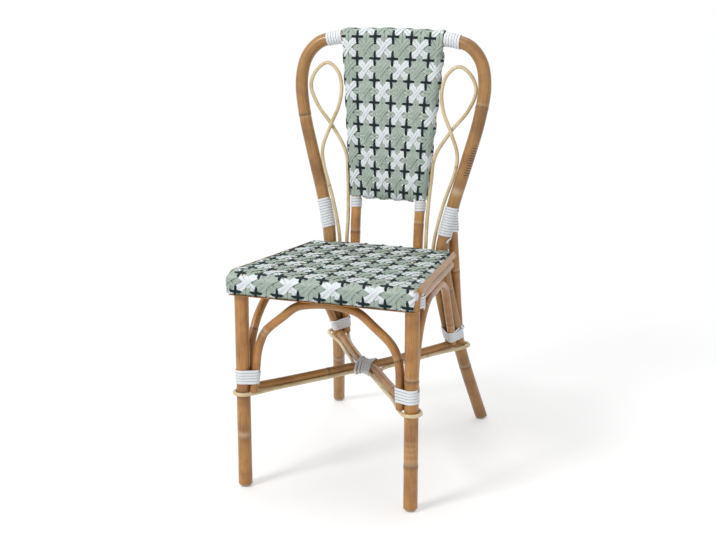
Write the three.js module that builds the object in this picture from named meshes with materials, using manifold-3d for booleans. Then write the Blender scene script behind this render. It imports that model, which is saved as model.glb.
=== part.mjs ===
// Rattan bistro chair: bent poles lashed with flat strand, a woven seat and a woven back panel.
// Millimetres. X runs across the chair, Y from front to back and Z up from the floor.
// While it is built, Y is zero at the back's poles where they pass the seat.
import * as THREE from 'three';
import { mergeVertices } from 'three/addons/utils/BufferGeometryUtils.js';
import Module from 'manifold-3d';

const wasm = await Module();
wasm.setup();

// Fits
const clearance = 0.3;
const cutOverrun = 80;

// Seat
const seatHeight = 470;
const seatFall = 12;
const seatDepth = 383;
const seatFrontWidth = 416;
const seatRearWidth = 326;
const seatRearBow = 12;
const seatFrontCorner = 10;
const seatRearCorner = 16;
const seatRailDiameter = 19;
const seatSkin = 4;
const seatLip = 16;
const bearerDiameter = 22;

// Rattan strips nailed along the seat's edges
const sideTrimWidth = 15;
const sideTrimThickness = 2.6;
const sideTrimInset = 6;
const frontTrimWidth = 22;
const frontTrimThickness = 1.8;

// Front legs
const frontLegSpacing = 364;
const frontLegInset = 27;
const frontLegDiameter = 29;

// The long pole that is both rear legs and the hoop of the back
const poleDiameter = 28;
const rearFootSpread = 366;
const rearFootSetback = 187;
const waistHeight = 445;
const waistWidth = 263;
const hoopHeight = 911;
const hoopWidth = 423;
const hoopLean = 50;

// Rear posts that stiffen the joint of leg and back
const postDiameter = 23;
const postOverlap = 46;
const postFootHeight = 258;
const postTip = 4;

// Back panel
const uprightDiameter = 22;
const uprightSpacing = 148;
const panelTopSpacing = 208;
const panelBottomHeight = 556;
const panelRailDiameter = 18;
const panelSkin = 3;
const panelSheet = 6;

// Arches under the seat
const archDiameter = 18;
const rearArchDrop = 12;
const frontArchSetback = 13;

// Cross stretchers and the thin cane around them
const stretcherDiameter = 19;
const stretcherHeight = 215;
const crossingSetback = 121;
const stretcherSag = 6;
const caneDiameter = 8;
const caneDrop = 7;

// Looped canes beside the panel
const loopCaneDiameter = 8;

// White flat strand of the bindings
const strandWidth = 5.1;
const strandThickness = 1.5;
const strandGap = 0.9;
const strandClearance = 0.5;
const loopSteps = 10;
const upperTurns = 11;
const lowerTurns = 5;
const topTurns = 5;
const panelTurns = 4;
const centreTurns = 4;
const cornerTurns = 3;
const upperBindingRise = 10;

// Foot glides and nails
const glideDiameter = 21;
const glideHeight = 5;
const nailShank = 3;
const nailHead = 6.4;
const nailHeadHeight = 1.2;
const nailLength = 22;

// Facets
const poleSides = 8;
const legSides = 12;
const caneSides = 6;
const nailSides = 8;
const pointsPerRun = 4;

const poleRadius = poleDiameter / 2;
const legRadius = frontLegDiameter / 2;
const postRadius = postDiameter / 2;
const uprightRadius = uprightDiameter / 2;
const railRadius = seatRailDiameter / 2;
const bearerRadius = bearerDiameter / 2;
const archRadius = archDiameter / 2;
const stretcherRadius = stretcherDiameter / 2;
const caneRadius = caneDiameter / 2;
const loopRadius = loopCaneDiameter / 2;
const strandPitch = strandWidth + strandGap;
const upperBindingHeight = seatHeight + upperBindingRise;

const lerp = THREE.MathUtils.lerp;
const vec = (x, y, z) => new THREE.Vector3(x, y, z);

// A closed geometry as a solid for cutting
function solidOf(geometry) {
  const plain = geometry.clone();
  plain.deleteAttribute('normal');
  plain.deleteAttribute('uv');
  const merged = mergeVertices(plain);
  return new wasm.Manifold(new wasm.Mesh({
    numProp: 3,
    vertProperties: Float32Array.from(merged.attributes.position.array),
    triVerts: Uint32Array.from(merged.index.array),
  }));
}

function geometryOf(solid) {
  const mesh = solid.getMesh();
  const geometry = new THREE.BufferGeometry();
  geometry.setAttribute('position', new THREE.BufferAttribute(Float32Array.from(mesh.vertProperties), 3));
  geometry.setIndex(new THREE.BufferAttribute(Uint32Array.from(mesh.triVerts), 1));
  geometry.computeVertexNormals();
  return geometry;
}

function cutBy(solid, cutters) {
  return cutters.reduce((left, cutter) => left.subtract(cutter), solid);
}

// A regular polygon drawn inside a circle
function circleShape(radius, sides) {
  const points = [];
  for (let i = 0; i < sides; i += 1) {
    const angle = (2 * Math.PI * i) / sides;
    points.push(new THREE.Vector2(radius * Math.cos(angle), radius * Math.sin(angle)));
  }
  return new THREE.Shape(points);
}

function tubeSolid(path, radius, steps, sides) {
  const geometry = new THREE.ExtrudeGeometry(circleShape(radius, sides), {
    steps,
    extrudePath: path,
  });
  return solidOf(geometry);
}

// Evenly spread points on the straight runs between a body's rings
function alongRings(rings) {
  const points = [rings[0]];
  rings.slice(1).forEach((end, i) => {
    for (let k = 1; k <= pointsPerRun; k += 1) {
      points.push(rings[i].clone().lerp(end, k / pointsPerRun));
    }
  });
  return points;
}

// A pole keeps its path, its own solid and the wider solid that clears a place for it
function pole(path, radius, steps, sides = poleSides) {
  return {
    path,
    radius,
    points: alongRings(path.getSpacedPoints(steps)),
    body: tubeSolid(path, radius, steps, sides),
    room: tubeSolid(path, radius + clearance / Math.cos(Math.PI / sides), steps, sides),
  };
}

function curve(points) {
  return new THREE.CatmullRomCurve3(points, false, 'centripetal');
}

function boxSolid(low, high) {
  const geometry = new THREE.BoxGeometry(high.x - low.x, high.y - low.y, high.z - low.z);
  geometry.translate((low.x + high.x) / 2, (low.y + high.y) / 2, (low.z + high.z) / 2);
  return solidOf(geometry);
}

// An outline whose corners [x, y, radius] are rounded by arcs of a few chords
function roundedOutline(corners, chords = 4) {
  const outline = [];
  corners.forEach(([x, y, radius], i) => {
    const corner = new THREE.Vector2(x, y);
    const [bx, by] = corners[(i + corners.length - 1) % corners.length];
    const [nx, ny] = corners[(i + 1) % corners.length];
    if (radius <= 0) {
      outline.push(corner);
      return;
    }
    const back = new THREE.Vector2(bx, by).sub(corner);
    const next = new THREE.Vector2(nx, ny).sub(corner);
    const half = Math.acos(back.clone().normalize().dot(next.clone().normalize())) / 2;
    const reach = Math.min(radius / Math.tan(half), back.length() / 2, next.length() / 2);
    const start = back.clone().setLength(reach).add(corner);
    const end = next.clone().setLength(reach).add(corner);
    const bend = reach * Math.tan(half);
    const centre = back.normalize().add(next.normalize()).setLength(bend / Math.sin(half)).add(corner);
    const from = start.clone().sub(centre);
    const sweep = Math.atan2(from.cross(end.clone().sub(centre)), from.dot(end.clone().sub(centre)));
    for (let k = 0; k <= chords; k += 1) {
      outline.push(from.clone().rotateAround(new THREE.Vector2(), (sweep * k) / chords).add(centre));
    }
  });
  return new THREE.Shape(outline);
}

// The long pole: right half from the floor to the top, then the left half mirrored.
// Below the waist a row is shares of height, spread and setback, and above it of height, width and lean.
const footHeight = glideHeight + clearance;
const legShares = [[0.416, 0.584, 0.439], [0.667, 0.787, 0.6955], [0.91, 0.942, 0.9466]];
const flareShares = [
  [0.077, 0.056, 0.1], [0.232, 0.268, 0.26], [0.45, 0.62, 0.42], [0.633, 0.893, 0.56], [0.7875, 1, 0.7],
];
const crownShares = [[0.895, 0.95, 0.82], [0.961, 0.825, 0.92], [0.985, 0.67, 0.97], [0.996, 0.35, 1]];

function hoopRight() {
  const rise = hoopHeight - waistHeight;
  const points = [vec(rearFootSpread / 2, rearFootSetback, 0)];
  legShares.forEach(([up, inward, forward]) => {
    points.push(vec(
      lerp(rearFootSpread, waistWidth, inward) / 2,
      rearFootSetback * (1 - forward),
      waistHeight * up,
    ));
  });
  points.push(vec(waistWidth / 2, 0, waistHeight));
  flareShares.forEach(([up, out, lean]) => {
    points.push(vec(lerp(waistWidth, hoopWidth, out) / 2, hoopLean * lean, waistHeight + rise * up));
  });
  crownShares.forEach(([up, out, lean]) => {
    points.push(vec((hoopWidth * out) / 2, hoopLean * lean, waistHeight + rise * up));
  });
  return points;
}

const rightPoints = hoopRight();
const leftPoints = rightPoints.map((p) => vec(-p.x, p.y, p.z)).reverse();
const hoopPath = curve([...rightPoints, vec(0, hoopLean, hoopHeight), ...leftPoints]);
const hoop = pole(hoopPath, poleRadius, 66);
const floorCut = boxSolid(
  vec(-rearFootSpread, -seatDepth, -cutOverrun),
  vec(rearFootSpread, rearFootSetback + cutOverrun, footHeight),
);

// Where the right or left half of the long pole passes a height
function hoopAt(height, side) {
  const half = hoop.points.filter((p) => p.x * side >= 0);
  const ordered = side > 0 ? half : half.reverse();
  for (let i = 1; i < ordered.length; i += 1) {
    const a = ordered[i - 1];
    const b = ordered[i];
    if (a.z <= height && b.z >= height) {
      return a.clone().lerp(b, (height - a.z) / (b.z - a.z));
    }
  }
  return ordered[ordered.length - 1].clone();
}

function hoopDirection(height, side) {
  return hoopAt(height + poleRadius, side).sub(hoopAt(height - poleRadius, side)).normalize();
}

// A step away from a pole, square to its run, towards a wanted direction
function squareTo(direction, wanted) {
  return wanted.clone().addScaledVector(direction, -wanted.dot(direction)).normalize();
}

// Seat outlines
const rearAtPoles = -poleRadius - clearance;
const seatFrontY = rearAtPoles - seatDepth;
const bowRadius = ((waistWidth / 2) ** 2 + seatRearBow ** 2) / (2 * seatRearBow);
const railInset = seatSkin + clearance + railRadius;
const railFall = (seatFall * railInset) / seatDepth;
const seatRise = 2 * railInset + seatRailDiameter + clearance + railFall;
const rearRise = 2 * (seatSkin + clearance) + seatRailDiameter;
const rollRadius = seatSkin + clearance + railRadius;
const apronBottom = seatHeight - seatRise;
const trimSeat = sideTrimThickness + clearance;
const seatEnd = rearAtPoles + seatRearBow;

function seatTopAt(y) {
  return seatHeight - (seatFall * (y - seatFrontY)) / seatDepth;
}

// The straight lower edge of the woven sheet, from front to rear
function seatUnderAt(y) {
  return lerp(apronBottom, seatTopAt(seatEnd) - rearRise, (y - seatFrontY) / (seatEnd - seatFrontY));
}

function seatHalfAt(y) {
  return lerp(seatFrontWidth, seatRearWidth, (y - seatFrontY) / seatDepth) / 2;
}

function seatRearAt(x) {
  return seatEnd - bowRadius + Math.sqrt(Math.max(bowRadius ** 2 - x ** 2, 0));
}

// The seat seen from above, drawn in at its front, sides and rear
function seatPlan(front, side, rear) {
  const frontY = seatFrontY + front;
  const cornerX = seatHalfAt(rearAtPoles - rear) - side;
  const corners = [[seatHalfAt(frontY) - side, frontY, side < 0 ? 0 : seatFrontCorner]];
  const bowSteps = 14;
  for (let i = 0; i <= bowSteps; i += 1) {
    const x = cornerX * (1 - (2 * i) / bowSteps);
    const end = i === 0 || i === bowSteps;
    corners.push([x, seatRearAt(x) - rear, end && side >= 0 ? seatRearCorner : 0]);
  }
  corners.push([side - seatHalfAt(frontY), frontY, side < 0 ? 0 : seatFrontCorner]);
  const geometry = new THREE.ExtrudeGeometry(roundedOutline(corners), {
    depth: seatHeight + cutOverrun,
    bevelEnabled: false,
  });
  return solidOf(geometry);
}

// A side view outline as a solid right across the seat
function seatPrism(corners) {
  const width = seatFrontWidth + 2 * cutOverrun;
  const geometry = new THREE.ExtrudeGeometry(roundedOutline(corners), { depth: width, bevelEnabled: false });
  geometry.translate(0, 0, -width / 2);
  geometry.applyMatrix4(new THREE.Matrix4().makeBasis(vec(0, 1, 0), vec(0, 0, 1), vec(1, 0, 0)));
  return solidOf(geometry);
}

// The seat seen from the side, drawn in all round
function seatProfile(inset, rearY) {
  const radius = Math.max(rollRadius - inset, seatSkin);
  const frontY = seatFrontY + inset;
  const corners = [
    [frontY, apronBottom + inset, Math.max(seatSkin - inset, 0)],
    [rearY, seatTopAt(rearY) - rearRise + inset, Math.max(seatSkin - inset, 0)],
    [rearY, seatTopAt(rearY) - inset, radius],
    [frontY, seatTopAt(frontY) - inset, radius],
  ];
  return seatPrism(corners);
}

// The woven sheet: over the top, down the front and rear, and under the rails as lips
function seatSkinSolid(grow) {
  const outer = seatPlan(-grow, trimSeat - grow, -grow).intersect(seatProfile(-grow, seatEnd + grow));
  const wall = seatSkin + grow;
  const pocket = seatPlan(wall, -cutOverrun, wall).intersect(seatProfile(wall, seatEnd - wall));
  const mouth = seatPlan(seatLip - grow, -cutOverrun, seatLip - grow)
    .intersect(seatProfile(-cutOverrun, seatEnd)).subtract(boxSolid(
      vec(-seatFrontWidth, seatFrontY - cutOverrun, seatTopAt(seatEnd) - rollRadius),
      vec(seatFrontWidth, seatEnd + cutOverrun, seatHeight + 2 * cutOverrun),
    ));
  return outer.subtract(pocket).subtract(mouth);
}

// Seat rails
const frontRailY = seatFrontY + railInset;
const upperRailZ = seatTopAt(frontRailY) - railInset;
const lowerRailZ = apronBottom + railInset;
const frontRailHalf = seatHalfAt(frontRailY) - trimSeat - clearance;

function straight(a, b, radius, sides = poleSides) {
  return pole(new THREE.LineCurve3(a, b), radius, 1, sides);
}

const frontUpperRail = straight(
  vec(-frontRailHalf, frontRailY, upperRailZ),
  vec(frontRailHalf, frontRailY, upperRailZ),
  railRadius,
);
const frontLowerRail = straight(
  vec(-frontRailHalf, frontRailY, lowerRailZ),
  vec(frontRailHalf, frontRailY, lowerRailZ),
  railRadius,
);

const rearRailHalf = seatHalfAt(rearAtPoles) - seatRearCorner - trimSeat;
const rearRailPoints = [];
const rearRailSteps = 10;
for (let i = 0; i <= rearRailSteps; i += 1) {
  const x = rearRailHalf * ((2 * i) / rearRailSteps - 1);
  const y = seatRearAt(x) - railInset;
  rearRailPoints.push(vec(x, y, seatTopAt(y) - railInset));
}
const rearRail = pole(curve(rearRailPoints), railRadius, rearRailSteps);

function sideRail(side) {
  const rearY = seatRearAt(rearRailHalf) - railInset;
  const at = (y) => vec(
    side * (seatHalfAt(y) - trimSeat - railRadius - clearance),
    y,
    seatTopAt(y) - railInset,
  );
  return straight(at(frontRailY), at(rearY), railRadius);
}

// Front legs
const legX = frontLegSpacing / 2;
const legY = seatFrontY + frontLegInset;
const trimUnder = apronBottom - clearance - frontTrimThickness;

function frontLeg(side) {
  return straight(
    vec(side * legX, legY, footHeight),
    vec(side * legX, legY, seatTopAt(legY) - railInset),
    legRadius,
    legSides,
  );
}

const tieSlot = strandThickness + 2 * strandClearance;
const shoulderY = frontRailY + railRadius + tieSlot;
const shoulderCut = boxSolid(
  vec(-seatFrontWidth, seatFrontY - cutOverrun, trimUnder - clearance),
  vec(seatFrontWidth, shoulderY, seatHeight + cutOverrun),
);

// Arches: where they stand, and how high their tops lie
const caneZ = stretcherHeight - caneDrop;
const archFoot = caneZ + caneRadius + clearance;
const sideArchFoot = stretcherHeight + stretcherRadius / 2;
const archTouch = poleRadius + archRadius + clearance;
const archLean = legRadius + archRadius + clearance;
const rearArchTop = seatTopAt(0) - rearRise - rearArchDrop - archRadius;

// Rows are shares of rise and half span from the foot to the top
const frontArchShares = [
  [0.07, 1], [0.22, 0.985], [0.4, 0.97], [0.51, 0.94], [0.645, 0.86], [0.82, 0.62], [0.945, 0.42],
  [0.985, 0.22],
];
// Rows are shares of rise, half span and setback
const rearArchShares = [[0.75, 0.95, 0.55], [0.91, 0.8, 0.2], [0.975, 0.62, 0.04], [0.998, 0.3, 0]];
const rearFollowShares = [0, 0.25, 0.5];
// Rows are shares of the run from front to rear and of rise
const sideArchShares = [
  [0.005, 0.25], [0.027, 0.46], [0.09, 0.71], [0.2, 0.91], [0.31, 1], [0.45, 1], [0.61, 1], [0.73, 0.9],
  [0.805, 0.71], [0.866, 0.5], [0.94, 0.27],
];
const sideArchAngle = Math.PI * 0.03;
const rearArchAngle = Math.PI * 0.1;

function mirrored(points, top) {
  const left = points.map((p) => vec(-p.x, p.y, p.z)).reverse();
  return top ? [...points, top, ...left] : [...points, ...left];
}

const frontArchY = legY + frontArchSetback;
const frontArchTop = bearerZ(frontArchY) - bearerRadius - clearance - archRadius;

function frontArch() {
  const half = legX - archLean;
  const rise = frontArchTop - archFoot;
  const points = [vec(half, legY, archFoot)];
  frontArchShares.forEach(([up, out]) => {
    const back = Math.min(2 * up, 1);
    points.push(vec(half * out, lerp(legY, frontArchY, back), archFoot + rise * up));
  });
  return pole(curve(mirrored(points, vec(0, frontArchY, frontArchTop))), archRadius, 30);
}

function rearArch() {
  const rise = rearArchTop - archFoot;
  const points = rearFollowShares.map((up) => {
    const beside = hoopAt(archFoot + rise * up, 1);
    return vec(beside.x - archTouch, beside.y, archFoot + rise * up);
  });
  const turn = points[points.length - 1];
  rearArchShares.forEach(([up, out, back]) => {
    points.push(vec(turn.x * out, lerp(uprightSeatY, turn.y, back), archFoot + rise * up));
  });
  return pole(curve(mirrored(points, vec(0, uprightSeatY, rearArchTop))), archRadius, 30);
}

// The side arch and the bearer above it lie in one upright plane
const archFrontX = legX - archLean * Math.sin(sideArchAngle);
const archFrontY = legY + archLean * Math.cos(sideArchAngle);
const archRear = rearTouch(archFoot + archRadius, 1);

// Where a side arch's rear end touches the long pole
function rearTouch(z, side) {
  const inward = -side * archTouch * Math.sin(rearArchAngle);
  return hoopAt(z, side).add(vec(inward, -archTouch * Math.cos(rearArchAngle), 0));
}

function sidePlaneX(y) {
  return lerp(archFrontX, archRear.x, (y - archFrontY) / (archRear.y - archFrontY));
}

function bearerZ(y) {
  const lipY = rearAtPoles - seatLip;
  const frontZ = seatTopAt(legY) - rearRise - bearerRadius - clearance;
  const lipZ = seatUnderAt(lipY) - bearerRadius - 2 * clearance;
  return lerp(frontZ, lipZ, (y - legY) / (lipY - legY));
}

function bearer(side) {
  return straight(
    vec(side * sidePlaneX(legY), legY, bearerZ(legY)),
    vec(side * sidePlaneX(0), 0, bearerZ(0)),
    bearerRadius,
  );
}

// How far short of the side bearers' axes the cross bearer ends, in radii
const crossBearerEnd = 0.8;

// Across the chair over the front arch, from one bearer to the other
function crossBearer() {
  const half = sidePlaneX(frontArchY) - bearerRadius * crossBearerEnd;
  const z = bearerZ(frontArchY);
  return straight(vec(-half, frontArchY, z), vec(half, frontArchY, z), bearerRadius);
}

function sideArch(side) {
  const at = (along, up) => {
    const y = lerp(archFrontY, archRear.y, along);
    const top = bearerZ(y) - bearerRadius - archRadius - clearance;
    return vec(side * sidePlaneX(y), y, lerp(archFoot, top, up));
  };
  const points = [at(0, 0), ...sideArchShares.map(([along, up]) => at(along, up))];
  [archFoot + 2 * archRadius, archFoot].forEach((z) => {
    points.push(rearTouch(z, side));
  });
  return pole(curve(points), archRadius, 24);
}

// Back uprights, from the rear arch up to the hoop
const uprightSeatX = uprightSpacing / 2;
const uprightSeatY = seatRearAt(uprightSeatX) + clearance + uprightRadius;
const uprightBendShares = [[0.16, 0.01, 0.14], [0.3, 0.06, 0.36], [0.62, 0.53, 0.67]];

function upright(side) {
  const headZ = lerp(waistHeight, hoopHeight, crownShares[3][0]);
  const foot = vec(side * uprightSeatX, uprightSeatY, rearArchTop + archRadius / 2);
  const head = vec((side * panelTopSpacing) / 2, hoopLean, headZ);
  const points = [foot];
  uprightBendShares.forEach(([up, out, lean]) => {
    points.push(vec(lerp(foot.x, head.x, out), lerp(foot.y, head.y, lean), lerp(foot.z, head.z, up)));
  });
  points.push(head);
  return pole(curve(points), uprightRadius, 12);
}

function atHeight(member, height) {
  const found = member.points.findIndex((p, i) => i > 0
    && (member.points[i - 1].z - height) * (p.z - height) <= 0);
  const a = member.points[found - 1];
  const b = member.points[found];
  return a.clone().lerp(b, (height - a.z) / (b.z - a.z));
}

function loftSolid(rings) {
  const geometry = new THREE.BufferGeometry();
  const sides = rings[0].length;
  const centreOf = (ring) => ring.reduce((sum, p) => sum.add(p), vec(0, 0, 0)).divideScalar(sides);
  const points = [...rings.flat(), centreOf(rings[0]), centreOf(rings[rings.length - 1])];
  const index = [];
  const first = rings.length * sides;
  for (let i = 0; i < sides; i += 1) {
    const next = (i + 1) % sides;
    for (let r = 0; r + 1 < rings.length; r += 1) {
      const low = r * sides;
      const high = low + sides;
      index.push(low + i, low + next, high + next, low + i, high + next, high + i);
    }
    const top = (rings.length - 1) * sides;
    index.push(first, next, i, first + 1, top + i, top + next);
  }
  geometry.setAttribute('position', new THREE.Float32BufferAttribute(points.flatMap((p) => p.toArray()), 3));
  geometry.setIndex(index);
  return solidOf(geometry);
}

// Rings at even steps of the path's own points, so that tight bends get as many as long runs
function ringsAlong(path, steps, sides, radius) {
  const rings = [];
  for (let i = 0; i <= steps; i += 1) {
    const t = i / steps;
    const along = path.getTangent(t);
    const across = squareTo(along, vec(0, 0, 1));
    const up = along.clone().cross(across);
    const ring = [];
    for (let k = 0; k < sides; k += 1) {
      const angle = (2 * Math.PI * (k + 0.5)) / sides;
      ring.push(path.getPoint(t)
        .addScaledVector(across, radius * Math.cos(angle))
        .addScaledVector(up, radius * Math.sin(angle)));
    }
    rings.push(ring);
  }
  return rings;
}

// A rear post stands behind the long pole, which cuts both its ends into long bevels
const postAngle = Math.PI / 3;

function post(side) {
  const beside = (z, reach) => hoopAt(z, side).add(
    vec(side * reach * Math.cos(postAngle), reach * Math.sin(postAngle), 0),
  );
  const foot = beside(postFootHeight, poleRadius + clearance + postTip - postRadius);
  const touch = beside(upperBindingHeight, poleRadius + clearance + postRadius);
  const rise = (upperBindingHeight + postOverlap - postFootHeight) / (upperBindingHeight - postFootHeight);
  return straight(foot, foot.clone().lerp(touch, rise), postRadius);
}

// Stretchers: each arm runs straight from a leg to a short bend, and the two bows touch at the centre
const bowCornerShare = 0.1;
const bowShares = [0, 0.3, 0.6, 0.8, 0.87, 0.91, 0.94, 0.97];
const crossingY = -crossingSetback;
const frontBowY = crossingY - stretcherRadius - clearance / 2;
const rearBowY = crossingY + stretcherRadius + clearance / 2;
const rearArmStart = hoopAt(stretcherHeight, 1);

function armPath(x, y, bowY) {
  const leg = new THREE.Vector2(x, y);
  const corner = new THREE.Vector2(x * bowCornerShare, bowY);
  const bend = leg.clone().sub(corner).setLength(2 * corner.x).add(corner);
  const path = new THREE.Path();
  path.moveTo(leg.x, leg.y);
  path.lineTo(bend.x, bend.y);
  path.quadraticCurveTo(corner.x, corner.y, 0, bowY);
  return path;
}

function sagAt(t) {
  return stretcherSag * t * (2 - t);
}

const frontArm = armPath(legX, legY, frontBowY);
const rearArm = armPath(rearArmStart.x, rearArmStart.y, rearBowY);

function stretcher(arm, bowY) {
  const points = bowShares.map((t) => {
    const p = arm.getPoint(t);
    return vec(p.x, p.y, stretcherHeight - sagAt(t));
  });
  return pole(curve(mirrored(points, vec(0, bowY, stretcherHeight - stretcherSag))), stretcherRadius, 26);
}

// One thin cane all round: outside each leg and along both sides of every arm
const caneReach = Math.sqrt((stretcherRadius + caneRadius + 2 * clearance) ** 2 - caneDrop ** 2);
const outerShares = [0.3, 0.6, 0.8, 0.9, 0.95];
const innerShares = [0.3, 0.55, 0.75];
const sideTurnShare = 0.187;
const legArcSteps = 4;

function besideArm(arm, t, turn) {
  const p = arm.getPoint(t);
  const along = arm.getTangent(t);
  return vec(p.x - turn * caneReach * along.y, p.y + turn * caneReach * along.x, caneZ - sagAt(t));
}

function aroundLeg(arm, nearest) {
  const radius = nearest / Math.cos(Math.PI / (4 * legArcSteps));
  const p = arm.getPoint(0);
  const start = arm.getTangent(0).angle() + Math.PI / 2;
  const points = [];
  for (let i = 0; i <= legArcSteps; i += 1) {
    const angle = start + (Math.PI * i) / legArcSteps;
    points.push(vec(p.x + radius * Math.cos(angle), p.y + radius * Math.sin(angle), caneZ));
  }
  return points;
}

function caneRing() {
  const low = hoopAt(caneZ, 1);
  const run = hoopDirection(caneZ, 1);
  const slant = Math.hypot(run.x, run.y) / run.z;
  const rearRoom = poleRadius / run.z + caneRadius * (1 + slant) + clearance;
  const rearArmLow = armPath(low.x, low.y, rearBowY);
  const right = [
    ...[...outerShares].reverse().map((t) => besideArm(frontArm, t, 1)),
    ...aroundLeg(frontArm, legRadius + caneRadius + clearance),
    ...innerShares.map((t) => besideArm(frontArm, t, -1)),
    vec(legX * sideTurnShare, crossingY, caneZ - sagAt(1)),
    ...[...innerShares].reverse().map((t) => besideArm(rearArmLow, t, 1)),
    ...aroundLeg(rearArmLow, rearRoom),
    ...outerShares.map((t) => besideArm(rearArmLow, t, -1)),
  ];
  const left = right.map((p) => vec(-p.x, p.y, p.z)).reverse();
  const frontEnd = vec(clearance / 2, frontBowY - caneReach, caneZ - stretcherSag);
  const rearMiddle = vec(0, rearBowY + caneReach, caneZ - stretcherSag);
  const points = [frontEnd, ...right, rearMiddle, ...left, vec(-frontEnd.x, frontEnd.y, frontEnd.z)];
  const path = curve(points);
  const steps = 2 * (points.length - 1);
  return {
    radius: caneRadius,
    points: alongRings(path.getPoints(steps)),
    body: loftSolid(ringsAlong(path, steps, caneSides, caneRadius)),
  };
}

// Looped canes: heights are shares of the way from the panel's lower edge to the top of the hoop
const loopBendShare = 0.273;
const loopCrossShare = 0.439;
const loopWideShare = 0.687;
const loopTopShare = 0.828;
const nearTopShare = 0.66;

// Along each looped cane: its share of the way from the upright to the hoop, and its side of the crossing
const loopPlaceShares = [
  [0.93, 0], [0.97, 0], [1, 0.4], [1, 1], [0.92, 1], [0.45, 1], [0.13, 1],
  [0.02, 0.6], [0.14, 0.3], [0.49, 0], [0.83, -0.3], [0.98, -0.6], [0.83, -1],
  [0.45, -1], [0.03, -1], [0.01, -1], [0.01, -0.6], [0.02, -0.4], [0.06, 0], [0.09, 0],
];

function panelShare(share) {
  return lerp(panelBottomHeight, hoopHeight, share);
}

const loopBendHeight = panelShare(loopBendShare);
const loopCrossHeight = panelShare(loopCrossShare);
const loopWideHeight = panelShare(loopWideShare);
const loopTopHeight = panelShare(loopTopShare);

function loopPoints(side, upright) {
  const seatTopHere = seatTopAt(0);
  const bindEnd = upperBindingHeight + upperTurns * strandPitch;
  const panelHigh = lerp(panelBottomHeight, loopBendHeight, 0.5);
  const low = seatTopHere - rearRise;
  const above = seatTopHere + loopCaneDiameter;
  const crossToWide = lerp(loopCrossHeight, loopWideHeight, 0.5);
  const nearTop = lerp(loopWideHeight, loopTopHeight, nearTopShare);
  const heights = [
    low, above, lerp(above, bindEnd, 0.5), bindEnd, loopBendHeight, loopCrossHeight, crossToWide,
    loopWideHeight, nearTop, loopTopHeight, nearTop, loopWideHeight, crossToWide,
    loopCrossHeight, loopBendHeight, panelHigh, bindEnd, lerp(above, bindEnd, 0.4), above, low,
  ];
  const wrapped = (radius) => (radius + strandClearance + strandThickness) / Math.cos(Math.PI / loopSteps);
  const reach = loopRadius + clearance;
  return heights.map((z, k) => {
    const [share, apart] = loopPlaceShares[k];
    const inner = atHeight(upright, z);
    const outer = hoopAt(z, side);
    const panelHere = z > panelBottomHeight - loopRadius;
    const lean = hoopDirection(z, side).z;
    const innerEdge = Math.abs(inner.x) + (panelHere ? wrapRadius : wrapped(uprightRadius)) + reach;
    const outerEdge = Math.abs(outer.x) - reach
      - (z < loopBendHeight ? wrapped(leaningRadius(poleRadius, lean)) : poleRadius);
    const x = lerp(innerEdge, outerEdge, share);
    const behindSeat = seatRearAt(x) + clearance + loopRadius;
    const between = (inner.y + outer.y) / 2 - apart * reach;
    return vec(side * x, z <= above ? Math.max(behindSeat, between) : between, z);
  });
}

// The radius a flat strand needs to pass round a pole whose run leans away from the winding's axis
function leaningRadius(radius, lean) {
  return radius / lean + Math.sqrt(Math.max(1 / lean ** 2 - 1, 0)) * (strandWidth / 2);
}

// A flat strand wound round a bundle of poles as one unbroken helix
const leastGaps = {};

// The round a member makes in one plane across the winding
function sectionAt(member, frame, s) {
  let best = null;
  for (let i = 1; i < member.points.length; i += 1) {
    const a = member.points[i - 1];
    const b = member.points[i];
    const sa = a.clone().sub(frame.origin).dot(frame.axis) - s;
    const sb = b.clone().sub(frame.origin).dot(frame.axis) - s;
    if (sa * sb <= 0 && sa !== sb) {
      const t = sa / (sa - sb);
      const at = a.clone().lerp(b, t).sub(frame.origin);
      const lean = Math.abs(b.clone().sub(a).normalize().dot(frame.axis));
      const radius = member.radius / lean;
      const found = { u: at.dot(frame.across), v: at.dot(frame.up), radius };
      if (!best || Math.hypot(found.u, found.v) < Math.hypot(best.u, best.v)) {
        best = found;
      }
    }
  }
  return best;
}

// The round that clears a member over the whole width of the strand
function crossing(member, frame, s) {
  const middle = sectionAt(member, frame, s);
  if (!middle) {
    return null;
  }
  const edges = [-strandWidth / 2, strandWidth / 2]
    .map((shift) => sectionAt(member, frame, s + shift))
    .filter((edge) => edge)
    .map((edge) => Math.hypot(edge.u - middle.u, edge.v - middle.v) + edge.radius);
  return { ...middle, radius: Math.max(middle.radius, ...edges) };
}

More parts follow.
